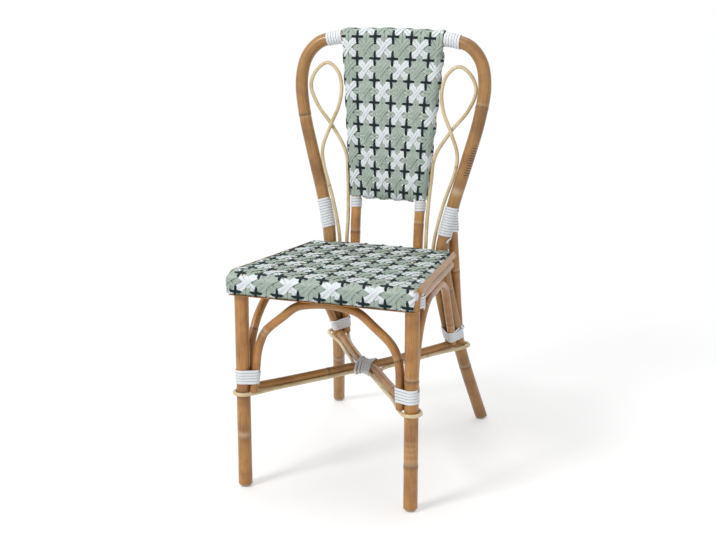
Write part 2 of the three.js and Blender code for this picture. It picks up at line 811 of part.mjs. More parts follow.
function strandRings(members, frame, start, turns, steps) {
  const angleStep = Math.PI / 90;
  const sAt = (angle) => start + (strandPitch * angle) / (2 * Math.PI);
  const reachAt = (k, angle) => {
    const disk = crossing(members[k], frame, sAt(angle));
    return disk ? disk.u * Math.cos(angle) + disk.v * Math.sin(angle) + disk.radius : -Infinity;
  };
  const further = (angle) => (best, m, k) => (reachAt(k, angle) > reachAt(best, angle) ? k : best);
  const widest = (angle) => members.reduce(further(angle), 0);
  const arcs = [];
  let active = widest(0);
  let from = 0;
  const end = 2 * Math.PI * turns;
  for (let angle = angleStep; angle < end; angle += angleStep) {
    const now = widest(angle);
    if (now !== active) {
      let low = angle - angleStep;
      let high = angle;
      for (let i = 0; i < 24; i += 1) {
        const middle = (low + high) / 2;
        if (reachAt(now, middle) > reachAt(active, middle)) {
          high = middle;
        } else {
          low = middle;
        }
      }
      arcs.push({ member: active, from, to: high });
      active = now;
      from = high;
    }
  }
  arcs.push({ member: active, from, to: end });
  const rings = [];
  arcs.forEach((arc) => {
    const pieces = Math.max(Math.ceil(((arc.to - arc.from) * steps) / (2 * Math.PI) - 0.2), 1);
    const step = (arc.to - arc.from) / pieces;
    for (let j = 0; j < pieces; j += 1) {
      const angle = arc.from + step * (j + 0.5);
      const disk = crossing(members[arc.member], frame, sAt(angle));
      const outward = frame.across.clone().multiplyScalar(Math.cos(angle))
        .addScaledVector(frame.up, Math.sin(angle));
      const centre = frame.origin.clone().addScaledVector(frame.axis, sAt(angle))
        .addScaledVector(frame.across, disk.u).addScaledVector(frame.up, disk.v);
      const mitre = Math.cos(step / 2);
      const inner = (disk.radius + strandClearance) / mitre;
      const outer = (disk.radius + strandClearance + strandThickness) / mitre;
      const corner = (reach, width) => centre.clone().addScaledVector(outward, reach)
        .addScaledVector(frame.axis, width);
      const half = strandWidth / 2;
      rings.push([corner(inner, -half), corner(inner, half), corner(outer, half), corner(outer, -half)]);
      rings[rings.length - 1].angle = angle;
    }
  });
  return rings;
}

// Least distance between turns: ring corners against the edges of rings more than half a turn on
function leastGap(rings) {
  let least = Infinity;
  const line = new THREE.Line3();
  const near = new THREE.Vector3();
  rings.forEach((ring, i) => {
    for (let j = i + 1; j + 1 < rings.length; j += 1) {
      if (rings[j].angle - ring.angle > Math.PI) {
        for (let k = 0; k < 4; k += 1) {
          for (let c = 0; c < 4; c += 1) {
            line.set(rings[j][k], rings[j + 1][k]).closestPointToPoint(ring[c], true, near);
            least = Math.min(least, near.distanceTo(ring[c]));
          }
        }
      }
    }
  });
  return least;
}

function winding(name, members, { origin, axis, turns, floor = -Infinity, steps = loopSteps }) {
  const along = axis.clone().normalize();
  const across = squareTo(along, Math.abs(along.x) > Math.SQRT1_2 ? vec(0, 1, 0) : vec(1, 0, 0));
  const frame = { origin, axis: along, across, up: along.clone().cross(across) };
  let start = strandWidth / 2;
  let rings = strandRings(members, frame, start, turns, steps);
  const lowest = Math.min(...rings.flat().map((p) => p.z));
  if (lowest < floor) {
    start += (floor - lowest) / along.z;
    rings = strandRings(members, frame, start, turns, steps);
  }
  leastGaps[name] = leastGap(rings);
  return loftSolid(rings);
}

function memberOf(part, keep = () => true) {
  return { points: part.points.filter(keep), radius: part.radius };
}

// A pole that ends inside a winding counts as one turn longer
function lengthened(part) {
  const { points, radius } = part;
  const first = points[0];
  const last = points[points.length - 1];
  const run = last.clone().sub(first).setLength(strandPitch);
  return { points: [first.clone().sub(run), ...points, last.clone().add(run)], radius };
}

// Members
const legs = {};
const bearers = {};
const sideRails = {};
const sideArches = {};
const posts = {};
const uprights = {};
const loops = {};
const sideNames = { left: -1, right: 1 };
Object.entries(sideNames).forEach(([name, side]) => {
  legs[name] = frontLeg(side);
  bearers[name] = bearer(side);
  sideRails[name] = sideRail(side);
  sideArches[name] = sideArch(side);
  posts[name] = post(side);
  uprights[name] = upright(side);
});
const archFront = frontArch();
const archRearTop = rearArch();
const bearerFront = crossBearer();
const stretchers = { front: stretcher(frontArm, frontBowY), rear: stretcher(rearArm, rearBowY) };
const cane = caneRing();

// Panel
const panelRailRadius = panelRailDiameter / 2;
const wrapRadius = uprightRadius + clearance + panelSkin;
const panelRailZ = panelBottomHeight + wrapRadius;
const panelRail = straight(
  atHeight(uprights.left, panelRailZ),
  atHeight(uprights.right, panelRailZ),
  panelRailRadius,
);
Object.entries(sideNames).forEach(([name, side]) => {
  loops[name] = pole(curve(loopPoints(side, uprights[name])), loopRadius, 50, caneSides);
});
// The woven panel: a front sheet that wraps round the uprights, the hoop and the lower rail
const panelFoot = atHeight(uprights.right, panelRailZ);
const panelHead = uprights.right.points[uprights.right.points.length - 1];

function panelSolid(grow) {
  const radius = wrapRadius + grow;
  const sleeve = poleRadius + clearance + panelSkin + grow;
  const base = vec(0, panelFoot.y, panelFoot.z);
  const up = vec(0, panelHead.y - panelFoot.y, panelHead.z - panelFoot.z);
  const tall = up.length();
  const axes = new THREE.Matrix4().makeBasis(
    vec(1, 0, 0),
    up.clone().normalize(),
    vec(1, 0, 0).cross(up.clone().normalize()),
  ).setPosition(base);
  const slab = new THREE.ExtrudeGeometry(new THREE.Shape([
    new THREE.Vector2(-panelFoot.x, 0),
    new THREE.Vector2(panelFoot.x, 0),
    new THREE.Vector2(panelHead.x, tall),
    new THREE.Vector2(-panelHead.x, tall),
  ]), {
    depth: clearance,
    bevelEnabled: true,
    bevelSize: radius,
    bevelThickness: radius - clearance / 2,
    bevelSegments: 4,
  });
  slab.translate(0, 0, -clearance / 2);
  slab.applyMatrix4(axes);
  const capHalf = panelHead.x + radius;
  const cap = hoop.points.filter((p) => Math.abs(p.x) <= capHalf && p.z > waistHeight);
  const ends = [capHalf, -capHalf].map((x) => {
    const near = cap.reduce((a, b) => (Math.abs(b.x - x) < Math.abs(a.x - x) ? b : a));
    return vec(x, near.y, near.z);
  });
  const middle = cap.filter((p, i) => Math.abs(p.x) < capHalf - poleRadius && i % pointsPerRun === 0);
  const sleeveSolid = tubeSolid(curve([ends[0], ...middle, ends[1]]), sleeve, 10, poleSides);
  const pocketInset = uprightRadius;
  const pocket = new THREE.ExtrudeGeometry(new THREE.Shape([
    new THREE.Vector2(pocketInset - panelFoot.x, panelRailRadius),
    new THREE.Vector2(panelFoot.x - pocketInset, panelRailRadius),
    new THREE.Vector2(panelHead.x - pocketInset, tall - poleRadius),
    new THREE.Vector2(pocketInset - panelHead.x, tall - poleRadius),
  ]), { depth: cutOverrun, bevelEnabled: false });
  const sheetBack = panelSheet + grow - wrapRadius;
  pocket.applyMatrix4(new THREE.Matrix4().makeRotationY(Math.PI));
  pocket.translate(0, 0, -sheetBack);
  pocket.applyMatrix4(axes);
  return solidOf(slab).add(sleeveSolid).subtract(solidOf(pocket));
}

// Nails and glides
const glideEdge = glideHeight / 6;
const glideRecess = nailHeadHeight + 2 * clearance;

function lathe(profile, sides) {
  const geometry = new THREE.LatheGeometry(profile.map(([r, z]) => new THREE.Vector2(r, z)), sides);
  geometry.rotateX(Math.PI / 2);
  return geometry;
}

// Points up, with its head at the bottom
function nailGeometry(length, grow, overrun) {
  const head = nailHead / 2 + grow;
  const shank = nailShank / 2 + grow;
  return lathe([
    [0, -overrun],
    [head, -overrun],
    [head, nailHeadHeight + grow],
    [shank, nailHeadHeight + grow],
    [shank, length - nailShank],
    [0, length + grow],
  ], nailSides);
}

function glideNail(foot) {
  const at = (grow, overrun) => {
    const geometry = nailGeometry(nailLength, grow, overrun);
    geometry.translate(foot.x, foot.y, clearance);
    return solidOf(geometry);
  };
  return { body: at(0, 0), room: at(clearance, 0) };
}

function glide(foot) {
  const bore = nailShank / 2 + clearance;
  const recess = nailHead / 2 + clearance;
  const radius = glideDiameter / 2;
  const geometry = lathe([
    [bore, glideRecess],
    [recess, glideRecess],
    [recess, 0],
    [radius - glideEdge, 0],
    [radius, glideEdge],
    [radius, glideHeight],
    [bore, glideHeight],
    [bore, glideRecess],
  ], legSides);
  geometry.translate(foot.x, foot.y, 0);
  return solidOf(geometry);
}

// Driven forward through a rear member into the seat's rear rail
function frameNail(member, x) {
  const railY = seatRearAt(x) - railInset;
  const z = seatTopAt(railY) - railInset;
  const behind = atHeight(member, z);
  const headY = behind.y + member.radius + clearance + nailHeadHeight;
  const at = (grow, overrun) => {
    const geometry = nailGeometry(headY - railY, grow, overrun);
    geometry.rotateX(Math.PI / 2);
    geometry.translate(behind.x, headY, z);
    return solidOf(geometry);
  };
  return { body: at(0, 0), room: at(clearance, cutOverrun) };
}

function halfOf(member, side) {
  const points = member.points.filter((p) => p.x * side > 0);
  return { ...member, points: points[0].z < points[points.length - 1].z ? points : points.reverse() };
}

const feet = {};
Object.entries(sideNames).forEach(([name, side]) => {
  feet[`front_${name}`] = vec(side * legX, legY, 0);
  feet[`rear_${name}`] = hoopAt(footHeight, side).setZ(0);
});
const glideNails = {};
Object.entries(feet).forEach(([name, foot]) => {
  glideNails[name] = glideNail(foot);
});
const frameNails = {};
Object.entries(sideNames).forEach(([name, side]) => {
  const lower = halfOf(hoop, side);
  lower.points = lower.points.filter((p) => p.z < hoopHeight - 2 * poleDiameter);
  frameNails[`pole_${name}`] = frameNail(lower, side * waistWidth / 2);
  frameNails[`upright_${name}`] = frameNail(uprights[name], side * uprightSeatX);
});

// Each side strip runs along the rail and turns down at the front
function sideTrims() {
  const inset = sideTrimInset;
  const band = sideTrimWidth + inset;
  const inner = [
    [seatFrontY + band, apronBottom - cutOverrun, 0],
    [seatEnd + cutOverrun, apronBottom - cutOverrun, 0],
    [seatEnd + cutOverrun, seatTopAt(seatEnd + cutOverrun) - band, 0],
    [seatFrontY + band, seatTopAt(seatFrontY) - band, rollRadius],
  ];
  const below = seatPrism(inner);
  const strip = seatPlan(0, 0, 0).intersect(seatProfile(inset, seatEnd)).subtract(below)
    .subtract(seatPlan(-cutOverrun, sideTrimThickness, -cutOverrun));
  return Object.fromEntries(Object.entries(sideNames).map(([name, side]) => {
    const half = boxSolid(
      vec(side > 0 ? 0 : -seatFrontWidth, seatFrontY - cutOverrun, 0),
      vec(side > 0 ? seatFrontWidth : 0, rearAtPoles, hoopHeight),
    );
    return [name, strip.intersect(half)];
  }));
}

const trims = sideTrims();
const frontTrimHalf = seatHalfAt(seatFrontY) - seatFrontCorner;
const frontTrim = boxSolid(
  vec(-frontTrimHalf, seatFrontY, trimUnder),
  vec(frontTrimHalf, seatFrontY + frontTrimWidth, apronBottom - clearance),
);

// Bindings
const stretcherTop = stretcherHeight + stretcherRadius;
const tieRadius = legRadius + strandThickness + 2 * strandClearance;

function windingLength(turns) {
  return turns * strandPitch + strandWidth;
}

function frontBinding(name) {
  return winding(`binding_front_${name}`, [
    memberOf(legs[name]), memberOf(archFront), memberOf(sideArches[name]),
  ], {
    origin: vec(sideNames[name] * legX, legY, stretcherTop + clearance),
    axis: vec(0, 0, 1),
    turns: lowerTurns,
  });
}

function rearBinding(name) {
  const side = sideNames[name];
  return winding(`binding_rear_${name}`, [
    memberOf(hoop, (p) => p.x * side > 0 && p.z < waistHeight),
    memberOf(sideArches[name]),
    memberOf(archRearTop, (p) => p.x * side > 0),
    lengthened(posts[name]),
  ], {
    origin: hoopAt(stretcherTop, side),
    axis: hoopDirection(stretcherTop, side).add(vec(0, 0, 1)),
    turns: lowerTurns,
    floor: stretcherTop + clearance,
  });
}

function upperBinding(name) {
  const side = sideNames[name];
  return winding(`binding_upper_${name}`, [
    memberOf(hoop, (p) => p.x * side > 0 && p.z > footHeight && p.z < loopCrossHeight),
    lengthened(posts[name]),
  ], {
    origin: hoopAt(upperBindingHeight, side),
    axis: hoopDirection(upperBindingHeight + windingLength(upperTurns) / 2, side),
    turns: upperTurns,
  });
}

function topBinding(name) {
  const side = sideNames[name];
  const crown = memberOf(hoop, (p) => p.x * side > 0 && p.z > loopTopHeight);
  const startX = panelTopSpacing / 2 + wrapRadius + clearance;
  const nearX = (x) => crown.points.reduce((a, b) => (
    Math.abs(b.x * side - x) < Math.abs(a.x * side - x) ? b : a));
  const start = nearX(startX + strandWidth / 2);
  const along = nearX(startX + windingLength(topTurns)).clone().sub(start);
  return winding(`binding_top_${name}`, [crown], { origin: start.clone(), axis: along, turns: topTurns });
}

function panelBinding(name) {
  const low = panelBottomHeight - windingLength(panelTurns) - clearance;
  const origin = atHeight(uprights[name], low);
  return winding(`binding_panel_${name}`, [memberOf(uprights[name])], {
    origin,
    axis: vec(0, 0, 1),
    turns: panelTurns,
  });
}

function centreBinding() {
  const half = windingLength(centreTurns) / 2;
  const near = (p) => Math.abs(p.x) < 2 * half;
  const byX = (member) => ({ ...member, points: [...member.points].sort((a, b) => a.x - b.x) });
  return winding('binding_centre', [
    byX(memberOf(stretchers.front, near)),
    byX(memberOf(stretchers.rear, near)),
    byX(memberOf(cane, (p) => near(p) && p.y < frontBowY)),
    byX(memberOf(cane, (p) => near(p) && p.y > rearBowY)),
  ], {
    origin: vec(-half, crossingY, stretcherHeight),
    axis: vec(1, 0, 0),
    turns: centreTurns,
  });
}

// The leg's flat-fronted tenon, as a round edge at each corner of its outline
const tenonEdge = strandThickness;

function cornerBinding(name) {
  const centreX = sideNames[name] * legX;
  const reach = legRadius - tenonEdge;
  const frontY = shoulderY + tenonEdge;
  const outline = [];
  for (let i = 0; i < legSides; i += 1) {
    const angle = (2 * Math.PI * i) / legSides;
    if (legY + reach * Math.sin(angle) > frontY) {
      outline.push([centreX + reach * Math.cos(angle), legY + reach * Math.sin(angle)]);
    }
  }
  const front = Math.sqrt(reach ** 2 - (frontY - legY) ** 2);
  outline.push([centreX - front, frontY], [centreX + front, frontY]);
  const members = outline.map(([x, y]) => ({
    points: [vec(x, y, archFoot), vec(x, y, seatHeight)],
    radius: tenonEdge,
  }));
  return winding(`binding_corner_${name}`, members, {
    origin: vec(centreX, (shoulderY + legY + legRadius) / 2, trimUnder),
    axis: vec(0, 0, 1),
    turns: cornerTurns,
  });
}

// Blocks that clear what a saddle cut would leave beyond it
function belowBlock(height) {
  return boxSolid(
    vec(-seatFrontWidth, seatFrontY - cutOverrun, -cutOverrun),
    vec(seatFrontWidth, rearFootSetback + cutOverrun, height),
  );
}

const inSkin = seatPlan(seatSkin + clearance, trimSeat + clearance, seatSkin + clearance);
const belowFeet = belowBlock(archFoot);
const belowSideFeet = belowBlock(sideArchFoot);
const stretcherRooms = [stretchers.front.room, stretchers.rear.room];
const roomsOf = (pieces) => Object.values(pieces).map((piece) => piece.room);

const chair = new THREE.Group();
const finishes = {
  rattan: { color: '#a9743f', roughness: 0.45 },
  cane: { color: '#d3bb8c', roughness: 0.5 },
  seatWeave: { color: '#90a597', roughness: 0.6 },
  backWeave: { color: '#a3b3a4', roughness: 0.6 },
  strand: { color: '#e4e4e6', roughness: 0.5 },
  glide: { color: '#b9b5b3', roughness: 0.6 },
  nail: { color: '#9a9a98', roughness: 0.35, metalness: 1 },
};

function add(name, solid, finish) {
  const material = new THREE.MeshStandardMaterial({ metalness: 0, ...finishes[finish] });
  const mesh = new THREE.Mesh(geometryOf(solid), material);
  mesh.name = name;
  chair.add(mesh);
}

const poleNails = ['pole_left', 'pole_right'].map((name) => frameNails[name].room);
const rearGlideNails = ['rear_left', 'rear_right'].map((name) => glideNails[name].room);
add('back_hoop', cutBy(hoop.body, [floorCut, ...rearGlideNails, ...poleNails]), 'rattan');
add('panel_rail', cutBy(panelRail.body, roomsOf(uprights)), 'rattan');
const tieRooms = {};
Object.entries(sideNames).forEach(([name, side]) => {
  const at = (z) => vec(side * legX, legY, z);
  tieRooms[name] = straight(at(archFoot), at(seatHeight), tieRadius, legSides).body;
});
add('bearer_front', cutBy(bearerFront.body, [...roomsOf(bearers), ...Object.values(tieRooms)]), 'rattan');
add('arch_front', cutBy(archFront.body, [...roomsOf(legs), belowFeet]), 'rattan');
add('arch_rear', cutBy(archRearTop.body, [hoop.room, stretchers.rear.room, belowFeet]), 'rattan');
add('stretcher_front', cutBy(stretchers.front.body, roomsOf(legs)), 'rattan');
add('stretcher_rear', cutBy(stretchers.rear.body, [hoop.room]), 'rattan');
add('cane_ring', cane.body, 'cane');
add('seat_rail_front_upper', frontUpperRail.body.intersect(inSkin), 'rattan');
add('seat_rail_front_lower', frontLowerRail.body.intersect(inSkin), 'rattan');
add('seat_rail_rear', cutBy(rearRail.body.intersect(inSkin), roomsOf(frameNails)), 'rattan');
Object.keys(sideNames).forEach((name) => {
  const leg = legs[name];
  add(`post_${name}`, cutBy(posts[name].body, [hoop.room]), 'rattan');
  add(`leg_${name}`, cutBy(leg.body, [shoulderCut, sideRails[name].room, glideNails[`front_${name}`].room]),
    'rattan');
  add(`upright_${name}`, cutBy(uprights[name].body, [
    hoop.room, archRearTop.room, frameNails[`upright_${name}`].room]), 'rattan');
  add(`seat_rail_${name}`, cutBy(sideRails[name].body.intersect(inSkin), [
    frontUpperRail.room, rearRail.room]), 'rattan');
  add(`bearer_${name}`, cutBy(bearers[name].body, [tieRooms[name], hoop.room]), 'rattan');
  add(`arch_${name}`, cutBy(sideArches[name].body, [
    leg.room, bearers[name].room, hoop.room, ...stretcherRooms, belowSideFeet]), 'rattan');
  add(`loop_${name}`, cutBy(loops[name].body, [hoop.room, uprights[name].room]), 'cane');
  add(`trim_${name}`, trims[name], 'cane');
});
add('trim_front', frontTrim, 'cane');
add('seat_weave', cutBy(seatSkinSolid(0), [
  hoop.room, ...roomsOf(uprights), ...roomsOf(frameNails)]), 'seatWeave');
add('back_weave', cutBy(panelSolid(0), [hoop.room, ...roomsOf(uprights), panelRail.room]), 'backWeave');
Object.keys(sideNames).forEach((name) => {
  add(`binding_front_${name}`, frontBinding(name), 'strand');
  add(`binding_rear_${name}`, rearBinding(name), 'strand');
  add(`binding_upper_${name}`, upperBinding(name), 'strand');
  add(`binding_top_${name}`, topBinding(name), 'strand');
  add(`binding_panel_${name}`, panelBinding(name), 'strand');
  add(`binding_corner_${name}`, cornerBinding(name), 'strand');
});
add('binding_centre', centreBinding(), 'strand');
Object.entries(feet).forEach(([name, foot]) => {
  add(`glide_${name}`, glide(foot), 'glide');
  add(`glide_nail_${name}`, glideNails[name].body, 'nail');
});
Object.entries(frameNails).forEach(([name, nail]) => {
  add(`frame_nail_${name}`, nail.body, 'nail');
});

// Centred on the box of the whole chair, standing on the floor
const box = new THREE.Box3().setFromObject(chair);
const middle = box.getCenter(new THREE.Vector3());
chair.children.forEach((mesh) => mesh.geometry.translate(-middle.x, -middle.y, -box.min.z));
Object.entries(leastGaps).forEach(([name, gap]) => {
  console.log(`${name}: least gap between turns ${gap.toFixed(2)} mm`);
});
const size = box.getSize(new THREE.Vector3()).toArray().map((length) => length.toFixed(1));
console.log(`box ${size.join(' x ')} mm, moved by ${(-middle.y).toFixed(3)} mm along Y`);

export default chair;
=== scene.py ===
import math
import random

import bpy
import numpy as np
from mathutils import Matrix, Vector
from mathutils.kdtree import KDTree


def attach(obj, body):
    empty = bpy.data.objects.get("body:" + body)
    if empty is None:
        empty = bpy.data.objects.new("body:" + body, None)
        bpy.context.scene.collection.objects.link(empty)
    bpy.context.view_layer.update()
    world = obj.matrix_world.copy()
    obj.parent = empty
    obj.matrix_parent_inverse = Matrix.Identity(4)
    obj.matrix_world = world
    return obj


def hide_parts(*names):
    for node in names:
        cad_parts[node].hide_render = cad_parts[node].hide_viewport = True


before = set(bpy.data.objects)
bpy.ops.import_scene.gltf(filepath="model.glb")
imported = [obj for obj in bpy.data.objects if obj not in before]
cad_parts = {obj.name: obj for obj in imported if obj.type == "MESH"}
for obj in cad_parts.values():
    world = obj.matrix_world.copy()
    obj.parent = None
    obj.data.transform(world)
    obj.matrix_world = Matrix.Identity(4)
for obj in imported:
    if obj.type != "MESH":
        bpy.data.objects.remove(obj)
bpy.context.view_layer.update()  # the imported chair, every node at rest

mm = 0.001  # points below are in millimetres, objects in metres
random.seed(11)
print("frame loaded:", len(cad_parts), "nodes")


def deselectAll():
    bpy.ops.object.select_all(action="DESELECT")


def enter(mode):
    bpy.ops.object.mode_set(mode=mode)


def linear(code):
    parts = [int(code[i:i + 2], 16) / 255 for i in (1, 3, 5)]
    return [c / 12.92 if c <= 0.04045 else ((c + 0.055) / 1.055) ** 2.4 for c in parts] + [1]


def connect(tree, node, links):
    # a link comes from a node's first output, or from one that is picked out
    for key, source in links.items():
        tree.links.new(getattr(source, "outputs", [source])[0], node.inputs[key])


def addNode(tree, kind, settings=None, links=None):
    # a setting is a property, a socket or the stops of a ramp
    node = tree.nodes.new("ShaderNode" + kind)
    for key, value in (settings or {}).items():
        if key == "stops":
            ramp = node.color_ramp
            while len(ramp.elements) < len(value):
                ramp.elements.new(0.5)
            for element, (place, colour) in zip(ramp.elements, value):
                element.position, element.color = place, linear(colour)
        elif isinstance(key, str) and hasattr(node, key):
            setattr(node, key, value)
        else:
            node.inputs[key].default_value = value
    connect(tree, node, links or {})
    return node


def newMaterial(name, roughness, **sockets):
    material = bpy.data.materials.new(name)
    material.use_nodes = True
    shader = material.node_tree.nodes["Principled BSDF"]
    shader.inputs["Roughness"].default_value = roughness
    for key, value in sockets.items():
        shader.inputs[key.replace("_", " ")].default_value = value
    return material, material.node_tree, shader


def addLayer(mesh, name, values, kind="FLOAT", key="value"):
    layer = mesh.attributes.new(name, kind, "POINT")
    layer.data.foreach_set(key, values)


def handOver(piece, nodes, material):
    # every finished piece rides on the one body and stands for its solids
    piece.data.materials.clear()
    piece.data.materials.append(material)
    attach(piece, "root")
    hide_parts(*nodes)


def mirrored(points):
    return [(-x, y, z) for x, y, z in points]


def acrossChair(half):
    # one half up to the middle, then its mirror image back
    return half + mirrored(half[:-1])[::-1]


def smoothRun(points, step=4.0, closed=False):
    # a centripetal curve through the points, sampled about every step
    p = [np.array(q, float) for q in points]
    p = [p[-1]] + p + [p[0], p[1]] if closed else [2 * p[0] - p[1]] + p + [2 * p[-1] - p[-2]]
    run = []
    for i in range(1, len(p) - 2):
        a, b, c, d = p[i - 1:i + 3]
        ta, tb, tc = [max(np.linalg.norm(n - m), 1e-6) ** 0.5 for m, n in ((a, b), (b, c), (c, d))]
        leave = ((b - a) / ta - (c - a) / (ta + tb) + (c - b) / tb) * tb
        arrive = ((c - b) / tb - (d - b) / (tb + tc) + (d - c) / tc) * tb
        pieces = max(int(round(np.linalg.norm(c - b) / step)), 1)
        for k in range(pieces):
            t = k / pieces
            run.append(b + leave * t + (3 * (c - b) - 2 * leave - arrive) * t ** 2
                       + (2 * (b - c) + leave + arrive) * t ** 3)
    if not closed:
        run.append(p[-2])
    return np.array(run)


def unit(vector):
    return vector / np.linalg.norm(vector)


def lengthsAlong(run):
    return np.concatenate([[0], np.cumsum(np.linalg.norm(np.diff(run, axis=0), axis=1))])


def directionsAlong(run, closed=False):
    ahead = np.roll(run, -1, 0) - np.roll(run, 1, 0) if closed else np.gradient(run, axis=0)
    return ahead / np.linalg.norm(ahead, axis=1)[:, None]


def eased(t):
    t = min(max(t, 0.0), 1.0)
    return t * t * (3 - 2 * t)


def between(a, b, share):
    return a + (b - a) * share


def rattanMaterial(name, pale, deep, ruddy, ring):
    # peeled rattan under clear varnish: long streaks, ruddy clouds, dark rings at the nodes, soft gloss
    material, tree, shader = newMaterial(name, 0.42, Coat_Weight=0.4, Coat_Roughness=0.22)
    grain, knot, scar, ticked = [addNode(tree, "Attribute", {"attribute_name": key})
                                 for key in ("grain", "knot", "scar", "ticks")]
    stretch = addNode(tree, "Mapping", {"Scale": (1, 1, 0.045)}, {"Vector": grain.outputs["Vector"]})
    # streaks 3 mm wide and 70 mm long, clouds about 60 mm across
    streaks = addNode(tree, "TexNoise", {"Scale": 330, "Detail": 5, "Roughness": 0.62}, {"Vector": stretch})
    clouds = addNode(tree, "TexNoise", {"Scale": 17, "Detail": 3, "Roughness": 0.55},
                     {"Vector": grain.outputs["Vector"]})
    base = addNode(tree, "ValToRGB", {"stops": [(0.28, deep), (0.5, pale), (0.72, deep)]}, {"Fac": streaks})
    share = addNode(tree, "MapRange", {"From Min": 0.44, "From Max": 0.66, "To Max": 0.62},
                    {"Value": clouds})
    apart = addNode(tree, "SeparateXYZ", {}, {"Vector": grain.outputs["Vector"]})
    along = addNode(tree, "Math", {"operation": "MULTIPLY", 1: 2 * math.pi / 0.0056},
                    {0: apart.outputs["Z"]})  # a dark tick every 5.6 mm
    wave = addNode(tree, "Math", {"operation": "SINE"}, {0: along})
    tick = addNode(tree, "MapRange", {"From Min": 0.2, "From Max": 0.6}, {"Value": wave})
    dash = addNode(tree, "Math", {"operation": "MULTIPLY"}, {0: tick, 1: ticked.outputs["Fac"]})
    bareFibre = "#d8c3a2"  # shows where the skin is rubbed off
    skin = base
    for amount, colour in ((share, ruddy), (knot.outputs["Fac"], ring),
                           (dash, ring), (scar.outputs["Fac"], bareFibre)):
        tinted = addNode(tree, "Mix", {"data_type": "RGBA", 7: linear(colour)}, {0: amount, 6: skin})
        skin = tinted.outputs[2]
    # fibres about 1 mm apart
    fibres = addNode(tree, "TexNoise", {"Scale": 900, "Detail": 3}, {"Vector": stretch})
    bump = addNode(tree, "Bump", {"Strength": 0.22, "Distance": 0.0006}, {"Height": fibres})
    gloss = addNode(tree, "MapRange", {"To Min": 0.34, "To Max": 0.52}, {"Value": streaks})
    connect(tree, shader, {"Base Color": skin, "Normal": bump, "Roughness": gloss})
    return material


def strandMaterial(name, colours, roughness, **sockets):
    # extruded plastic strand: a satin band with soft ridges along it, and painted shade along its edges for
    # the dark line where two strands or two turns meet
    material, tree, shader = newMaterial(name, roughness, **sockets)
    strand = addNode(tree, "Attribute", {"attribute_name": "strand"})
    parts = addNode(tree, "SeparateXYZ", {}, {"Vector": strand.outputs["Vector"]})
    tone = addNode(tree, "TexNoise", {"Scale": 55, "Detail": 2},
                   {"Vector": strand.outputs["Vector"]})  # tone drifts every 20 mm and by strand
    base = addNode(tree, "ValToRGB", {"stops": list(zip((0.3, 0.5, 0.7), colours))}, {"Fac": tone})
    edge = addNode(tree, "Math", {"operation": "ABSOLUTE"}, {0: parts.outputs["X"]})
    # painted shade: within its outer edges the band darkens towards a dark grey-green, as if in its
    # neighbour's shadow
    seamShade = addNode(tree, "MapRange", {"From Min": 0.36, "From Max": 0.5, "To Max": 0.3}, {"Value": edge})
    done = addNode(tree, "Mix", {"data_type": "RGBA", 7: linear("#273030")}, {0: seamShade, 6: base})
    halfWaves = 5  # across a strand, which makes three ridges 2.3 mm apart
    turn = addNode(tree, "Math", {"operation": "MULTIPLY", 1: math.pi * halfWaves}, {0: parts.outputs["X"]})
    ridge = addNode(tree, "Math", {"operation": "COSINE"}, {0: turn})
    bump = addNode(tree, "Bump", {"Strength": 0.22, "Distance": 0.0003}, {"Height": ridge})
    connect(tree, shader, {"Base Color": done.outputs[2], "Normal": bump})
    return material


def mouldedMaterial(name, pale, deep, roughness):
    # injection-moulded polyethylene: an even grey with a faint paler grit
    material, tree, shader = newMaterial(name, roughness)
    place = addNode(tree, "TexCoord")
    # grains of 2 mm, drawn coarser than real to show at all
    grit = addNode(tree, "TexNoise", {"Scale": 420, "Detail": 3}, {"Vector": place.outputs["Object"]})
    base = addNode(tree, "ValToRGB", {"stops": [(0.35, deep), (0.65, pale)]}, {"Fac": grit})
    bump = addNode(tree, "Bump", {"Strength": 0.15, "Distance": 0.0002}, {"Height": grit})
    connect(tree, shader, {"Base Color": base, "Normal": bump})
    return material


def wireMaterial(name):
    # drawn steel wire: grey metal, mottled by scratches 0.7 mm apart
    material, tree, shader = newMaterial(name, 0.35, Metallic=1.0)
    place = addNode(tree, "TexCoord")
    scratch = addNode(tree, "TexNoise", {"Scale": 1500, "Detail": 2}, {"Vector": place.outputs["Object"]})
    base = addNode(tree, "ValToRGB", {"stops": [(0.3, "#8d8c8a"), (0.7, "#b4b3b0")]}, {"Fac": scratch})
    connect(tree, shader, {"Base Color": base})
    return material


rattan = rattanMaterial("varnishedRattan", "#b7823f", "#8d5e2a", "#7a4a20", "#4f2f18")
# a darker, slightly less red copy of the rattan for the hoop: its darkness is painted shade that dims the
# light falling on the hoop
paintedShadeHoopRattan = rattanMaterial("varnishedHoopRattanPaintedShade", "#a97b40", "#83592a", "#6f451f", "#4a2c16")
# a paler copy of the rattan with painted light, for the panel uprights that stand in the panel's shade
paintedLightRattan = rattanMaterial("varnishedRattanPaintedLight", "#c48d48", "#9b6933", "#85552a", "#5a3820")
paleCane = rattanMaterial("peeledCane", "#dbcaa4", "#c6b081", "#b0925f", "#98794c")
sageStrand = strandMaterial("sageStrand", ("#8e9e93", "#9aa99e", "#a7b5aa"), 0.45)
darkStrand = strandMaterial("bottleGreenStrand", ("#06181a", "#0a1f21", "#102729"), 0.6,
                            Specular_IOR_Level=0.2)
whiteStrand = strandMaterial("whiteStrand", ("#cdd5d8", "#d7dde0", "#e0e5e8"), 0.45)
lashing = strandMaterial("whiteLashing", ("#d8dbdf", "#dfe2e6", "#e5e8eb"), 0.45)
glidePlastic = mouldedMaterial("mouldedGlide", "#c2beba", "#aeaaa6", 0.5)
nailWire = wireMaterial("nailWire")
print("materials made")


